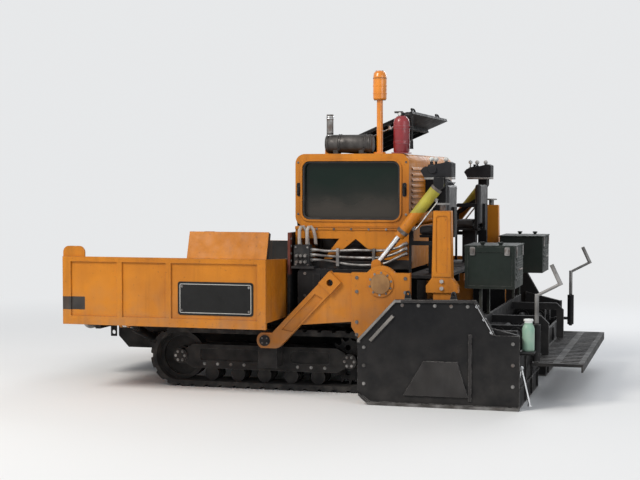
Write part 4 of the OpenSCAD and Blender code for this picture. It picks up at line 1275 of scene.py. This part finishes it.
@pair("rod_chrome", "lift_barrel_{}")
def lift_pipe(bm):
    base = LIFT_TOP + LIFT_SIDE * (LIFT_R + 0.012)
    bends = ((0.110, 0), (0.135, 0.012), (0.250, 0.012), (0.375, 0.012), (0.400, 0))
    tube(bm, [base + LIFT_ALONG * at + LIFT_SIDE * out for at, out in bends], 0.007, 10, 5)


# Screed: box lids and frames with their catches, depth screws, cover, gussets and guide rings
REAR_BOX_LOW, REAR_BOX_HIGH = node_box("screed_boxes")
BOX_X, BOX_Y = (REAR_BOX_LOW.x, REAR_BOX_HIGH.x), (0.700, REAR_BOX_HIGH.y)
BOX_Z, BOX_SIDE = (0.876, REAR_BOX_HIGH.z + 0.012), BOX_Y[1] + 0.006
POST_LOW, POST_HIGH = node_box("depth_posts")
POST_X, POST_FACE = (POST_LOW.x + POST_HIGH.x) / 2, POST_HIGH.y


@pair(SLOTS["screed_boxes"], "screed", soft=0.001)
def screed_box_lids(bm):
    top, rear = BOX_Z[1] - 0.012, BOX_X[0]
    brick(bm, inset(BOX_X, -0.008), (BOX_Y[0] - 0.008, BOX_SIDE), (top, BOX_Z[1]), 0.003)
    prism(bm, rect(BOX_X, (BOX_Z[0], top)), (BOX_Y[1], BOX_SIDE),
          holes=[rect(inset(BOX_X, 0.025), (BOX_Z[0] + 0.025, top - 0.040))])
    for x in (BOX_X[0] + 0.120, BOX_X[1] - 0.130):
        lathe(bm, (x, BOX_Y[1] - 0.060, BOX_Z[1]), UP,
              ((0.014, 0), (0.014, 0.010), (0.022, 0.014), (0.022, 0.025)))
    for z in spread(0.936, 1.096, 5):
        prism(bm, [(rear, z + 0.024), (rear - 0.008, z + 0.006), (rear - 0.008, z), (rear, z + 0.016)],
              inset(BOX_Y, 0.060))


@pair("worn_steel", "screed")
def screed_box_trim(bm):
    for x in (-1.600, -1.330):
        prism(bm, rounded_outline(about(x, 0.020), (1.135, 1.200), 0.008), (BOX_SIDE, BOX_SIDE + 0.005))
        brick(bm, about(x, 0.008), (BOX_SIDE + 0.004, BOX_SIDE + 0.013), (1.150, 1.188), 0.003)
    for y in (0.760, 1.120):
        tube(bm, [(BOX_X[0] - 0.004, y, z) for z in (1.120, 1.160, 1.200)], 0.007, 10, 2)
    handle = ((0, 0.86), (0.012, 0.862), (0.014, 0.88), (0.014, 1.00), (0.012, 1.018), (0, 1.02))
    tube(bm, [(BOX_X[0] - out, y, 1.02) for out, y in handle], 0.006, 10, 4)


@pair("orange_paint", "screed", soft=0.001)
def depth_screws(bm):
    prism(bm, [(-1.184, 0.970), (-1.036, 0.970), (-1.044, 1.474), (-1.176, 1.474)],
          (POST_FACE, POST_FACE + 0.008),
          holes=[rounded_outline(about(POST_X, 0.045), (1.000, 1.440), 0.020)])
    for z in (0.880, 0.935):
        disc(bm, (POST_X, POST_FACE, z), LEFT, 0.017, 0.014, 6)


@pair("worn_steel", "screed")
def screw_heads(bm):
    lathe(bm, (POST_X, 1.255, POST_HIGH.z), UP,
          ((0.024, 0), (0.024, 0.044), (0.052, 0.046), (0.052, 0.058), (0.030, 0.060)))


@pair(SLOTS["screed_body"], "screed")
def screed_cover(bm):
    inside = (-1.3795, -1.0205)
    prism(bm, rect(inside, (0.0155, 1.1895)), (0.458, 0.468), "Z",
          holes=[rect(inset(inside, 0.07), about(y, 0.05)) for y in spread(0.15, 1.03, 5)])
    for y in (0.120, 0.380, 0.640, 0.960):
        prism(bm, [(-1.380, 0.4685), (-1.270, 0.4685), (-1.380, 0.620)], (y, y + 0.012))
    for y, x in product((0.722, 0.790, 1.132, 1.200), (-1.480, -1.620)):
        band(bm, (x, y, 0.485), LEFT, (0.0355, 0.057), 0.008, 28)


# Walkway with its slots and folded edges, on two arms
WALK_LOW, WALK_HIGH = node_box("walkway")
WALK_X, WALK_Z, WALK_HALF = (WALK_LOW.x, WALK_LOW.x + 0.390), (WALK_LOW.z, WALK_LOW.z + 0.025), WALK_HIGH.y


@single(SLOTS["walkway"], "screed", soft=0.001, node="walkway")
def walkway_deck(bm):
    slots = [rect(x, about(y, 0.022)) for x in ((-2.140, -2.000), (-1.945, -1.805))
             for y in spread(-1.080, 1.080, 25)]
    prism(bm, rect(WALK_X, (-WALK_HALF, WALK_HALF)), WALK_Z, "Z", holes=slots)
    for x in (WALK_X[0], WALK_X[1] - 0.014):
        brick(bm, (x, x + 0.014), (-WALK_HALF, WALK_HALF), (WALK_Z[0] - 0.040, WALK_Z[0]))
    for y in (-0.600, 0.600):
        prism(bm, [(-1.400, 0.560), (-1.400, 0.620), (-1.800, 0.620), (-1.860, 0.560), (-1.860, 0.310),
                   (-1.800, 0.310), (-1.800, 0.560)], about(y, 0.020))


# Extensions and gates: ribs, cranks, bottle, two thin legs behind it, rods on the gate's rear slope
EXTENSION_REAR = node_box("extension_left")[0].x
CRANK_AT = Vector((-1.850, 1.370, 0.340))
BOTTLE_AT = Vector((-1.800, 1.462, 0.440))


@pair(SLOTS["extension_left"], "extension_{}", soft=0.002)
def extension_ribs(bm):
    for y in (0.400, 0.800, 1.180):
        brick(bm, (EXTENSION_REAR - 0.014, EXTENSION_REAR), (y, y + 0.014), (0.020, 0.380))
    brick(bm, (EXTENSION_REAR - 0.016, EXTENSION_REAR), (0.330, 1.500), (0.150, 0.164))
    brick(bm, (-1.870, -1.700), about(CRANK_AT.y, 0.025), (0.396, 0.420))


@pair(SLOTS["extension_left"], "extension_{}")
def crank(bm):
    lathe(bm, CRANK_AT, UP, ((0.016, 0), (0.016, 0.010), (0.030, 0.012), (0.030, 0.290), (0.016, 0.292),
                             (0.016, 0.520)), 24)
    arm = [(-0.883 * d, 0, 0.508 + 0.469 * d) for d in (0.03, 0.10, 0.17)]
    bends = ((0, 0, 0.490), (0, 0, 0.505), *arm, (-0.182, 0, 0.612))
    tube(bm, [CRANK_AT + Vector(p) for p in bends], 0.012, 14)
    disc(bm, CRANK_AT + Vector((-0.180, 0, 0.590)), (0.423, 0, 0.906), 0.017, 0.170, 20, 0.94)


@single("hose_rubber", "extension_left", finish="bottle_plastic")
def fluid_bottle(bm):
    lathe(bm, BOTTLE_AT, UP, ((0.042, 0.001), (0.046, 0.008), (0.046, 0.168), (0.040, 0.188), (0.030, 0.200),
                              (0.030, 0.224), (0.036, 0.225), (0.036, 0.236), (0.034, 0.239)), 40)
    brick(bm, (-1.852, -1.740), (1.414, 1.528), (0.424, 0.4405), 0.002)


@pair("rod_chrome", "extension_{}")
def extension_legs(bm):
    x, y, z = -1.748, 1.452, 0.305
    for foot_x, foot_z in ((-1.684, 0.012), (-1.812, 0.030)):
        tube(bm, [(x, y, z), ((x + foot_x) / 2, y, (z + foot_z) / 2), (foot_x, y, foot_z)], 0.0085, 12, 2)
        disc(bm, (foot_x, y, foot_z - 0.008), UP, 0.017, 0.010, 16)
    disc(bm, (x, y - 0.012, z), LEFT, 0.016, 0.024, 20)
    hex_bolt(bm, (x, y + 0.012, z), LEFT, 0.016)


@pair("rod_chrome", "end_gate_{}")
def slope_rod(bm):
    high, low = Vector((-1.425, 1.582, 0.788)), Vector((-1.550, 1.582, 0.571))
    tube(bm, [high, (high + low) / 2, low], 0.0075, 10, 2)
    for share in (0.06, 0.5, 0.94):
        at = high.lerp(low, share)
        disc(bm, (at.x, 1.574, at.z), LEFT, 0.014, 0.012, 16)


@pair("worn_steel", "extension_{}")
def end_plate_bolts(bm):
    bolts(bm, 1.480, product((-1.69, -1.46), (0.08, 0.20, 0.32)), 0.018, -LEFT)
    for y in spread(0.42, 1.42, 6):
        hex_bolt(bm, (EXTENSION_REAR - 0.016, y, 0.157), -FORWARD, 0.009)


# Engine: block with its covers and slotted plate, filler cap, injector pipes and intake hose
ENGINE_LOW, ENGINE_HIGH = node_box("engine_block")
ENGINE_FOOT, ENGINE_TOP = ENGINE_LOW.z + 0.0002, ENGINE_HIGH.z


@single(SLOTS["engine_block"], soft=0.002, node="engine_block")
def engine(bm):
    top = ENGINE_TOP
    width = (ENGINE_LOW.y, ENGINE_HIGH.y)
    brick(bm, (ENGINE_LOW.x, ENGINE_HIGH.x), width, (ENGINE_FOOT, top - 0.160), 0.012)
    brick(bm, (-0.380, 0.040), (-0.190, 0.190), (top - 0.161, top - 0.070), 0.008)
    prism(bm, arc((0, top - 0.071), 0.096, 0, 180, 18), (-0.360, 0.020), "X")
    lathe(bm, (-0.390, 0.290, top - 0.092), FORWARD,
          ((0.050, 0), (0.050, 0.030), (0.070, 0.032), (0.070, 0.350), (0.050, 0.352), (0.050, 0.380)))
    for x in spread(-0.310, -0.090, 3):
        disc(bm, (x, -0.260, top - 0.110), LEFT, 0.028, 0.080, 20)
    disc(bm, (-0.340, -0.270, top - 0.110), FORWARD, 0.042, 0.350, 24)
    prism(bm, rect(width, (ENGINE_FOOT, top)), (ENGINE_HIGH.x + 0.0005, 0.125), "X",
          holes=[rect(inset(width, 0.030), (z, z + 0.026)) for z in spread(1.100, 1.460, 7)])


@single("worn_steel")
def engine_pipes(bm):
    bends = ((0.188, 0.085), (0.235, 0.060), (0.210, 0.020), (0.110, 0.015))
    for x in spread(-0.310, -0.010, 4):
        tube(bm, [(x, y, ENGINE_TOP - down) for y, down in bends], 0.005, 8, 4)
    disc(bm, (-0.250, 0.0, ENGINE_TOP + 0.022), UP, 0.030, 0.014, 18, 0.9)


@single("hose_rubber")
def intake_hose(bm):
    bends = ((-0.392, 0.290, 0.092), (-0.425, 0.290, 0.088), (-0.440, 0.230, 0.075),
             (-0.440, 0.110, 0.070), (-0.420, 0.030, 0.080), (-0.362, 0.010, 0.095))
    tube(bm, [(x, y, ENGINE_TOP - down) for x, y, down in bends], 0.034, 16, 5)


# Seats: padded cushion and back of the left side, and their mirror images on the right
SEAT_LOW, SEAT_HIGH = node_box("seat_left")
SEAT_Y = inset((SEAT_LOW.y, SEAT_HIGH.y), 0.002)
CUSHION_X, CUSHION_Z = (-1.050, SEAT_HIGH.x - 0.002), (SEAT_LOW.z + 0.002, 1.350)
BACK_X, BACK_Z = (-1.108, -1.057), (1.302, SEAT_HIGH.z - 0.002)


def swell(pad, voxel=0.006, cap=0.010, pressure=4, frames=20):
    """Cloth pressure swells the pad, by no more than the cap."""
    remesh = pad.modifiers.new("remesh", "REMESH")
    remesh.mode = "VOXEL"
    remesh.voxel_size = voxel
    settle(pad)
    start = [v.co.copy() for v in pad.data.vertices]
    cloth = pad.modifiers.new("cloth", "CLOTH").settings
    cloth.use_pressure = True
    cloth.uniform_pressure_force = pressure
    cloth.effector_weights.gravity = 0
    for number in range(1, frames + 1):
        bpy.context.scene.frame_set(number)
    settle(pad)
    bpy.context.scene.frame_set(1)
    for vertex, rest in zip(pad.data.vertices, start):
        move = vertex.co - rest
        if move.length > cap:
            vertex.co = rest + move.normalized() * cap
    pad.modifiers.new("smooth", "SUBSURF").levels = 1
    settle(pad)


def pad_mesh(x, y, z, slack=0.006):
    bm = bmesh.new()
    brick(bm, inset(x, slack), inset(y, slack), inset(z, slack), 0.012)
    pad = new_object("pad", new_mesh("pad", bm))
    swell(pad)
    result = pad.data
    bpy.data.objects.remove(pad)
    return result


def settle(pad):
    """The evaluated mesh becomes the object's own, with no modifier left."""
    graph = bpy.context.evaluated_depsgraph_get()
    mesh = bpy.data.meshes.new_from_object(pad.evaluated_get(graph))
    pad.modifiers.clear()
    pad.data = mesh


def sew(mesh, axis, low, high, flat, depth=0.007, channels=3):
    """Sewn channels across the pad's face, and its vertices kept within the CAD solid's box."""
    for vertex in mesh.vertices:
        co = vertex.co
        share = (co.y - SEAT_Y[0]) / (SEAT_Y[1] - SEAT_Y[0]) * (channels + 1)
        off = abs(share - round(share)) / (channels + 1) * (SEAT_Y[1] - SEAT_Y[0])
        if 0.5 < share < channels + 0.5:
            face = max(0.0, min(1.0, (co[axis] - flat) / (high[axis] - flat)))
            co[axis] -= depth * face * math.exp(-(off / 0.006) ** 2)
        for i in range(3):
            co[i] = min(max(co[i], low[i]), high[i])


def make_seats():
    cushion = pad_mesh(CUSHION_X, SEAT_Y, CUSHION_Z)
    sew(cushion, 2, (CUSHION_X[0], SEAT_Y[0], CUSHION_Z[0]),
        (CUSHION_X[1], SEAT_Y[1], CUSHION_Z[1] + 0.004), CUSHION_Z[1] - 0.02)
    back = pad_mesh(BACK_X, SEAT_Y, BACK_Z, 0.005)
    sew(back, 0, (BACK_X[0], SEAT_Y[0], BACK_Z[0]),
        (BACK_X[1] + 0.004, SEAT_Y[1], BACK_Z[1]), BACK_X[1] - 0.015)
    for side, sign in SIDES:
        bm = bmesh.new()
        bm.from_mesh(cushion)
        bm.from_mesh(back)
        if sign < 0:
            bmesh.ops.scale(bm, vec=(1, -1, 1), verts=bm.verts)
        seat = add_piece(f"padded_seat_{side}", bm, "seat_vinyl", "tractor", smooth=60)
        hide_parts(f"seat_{side}")


make_seats()
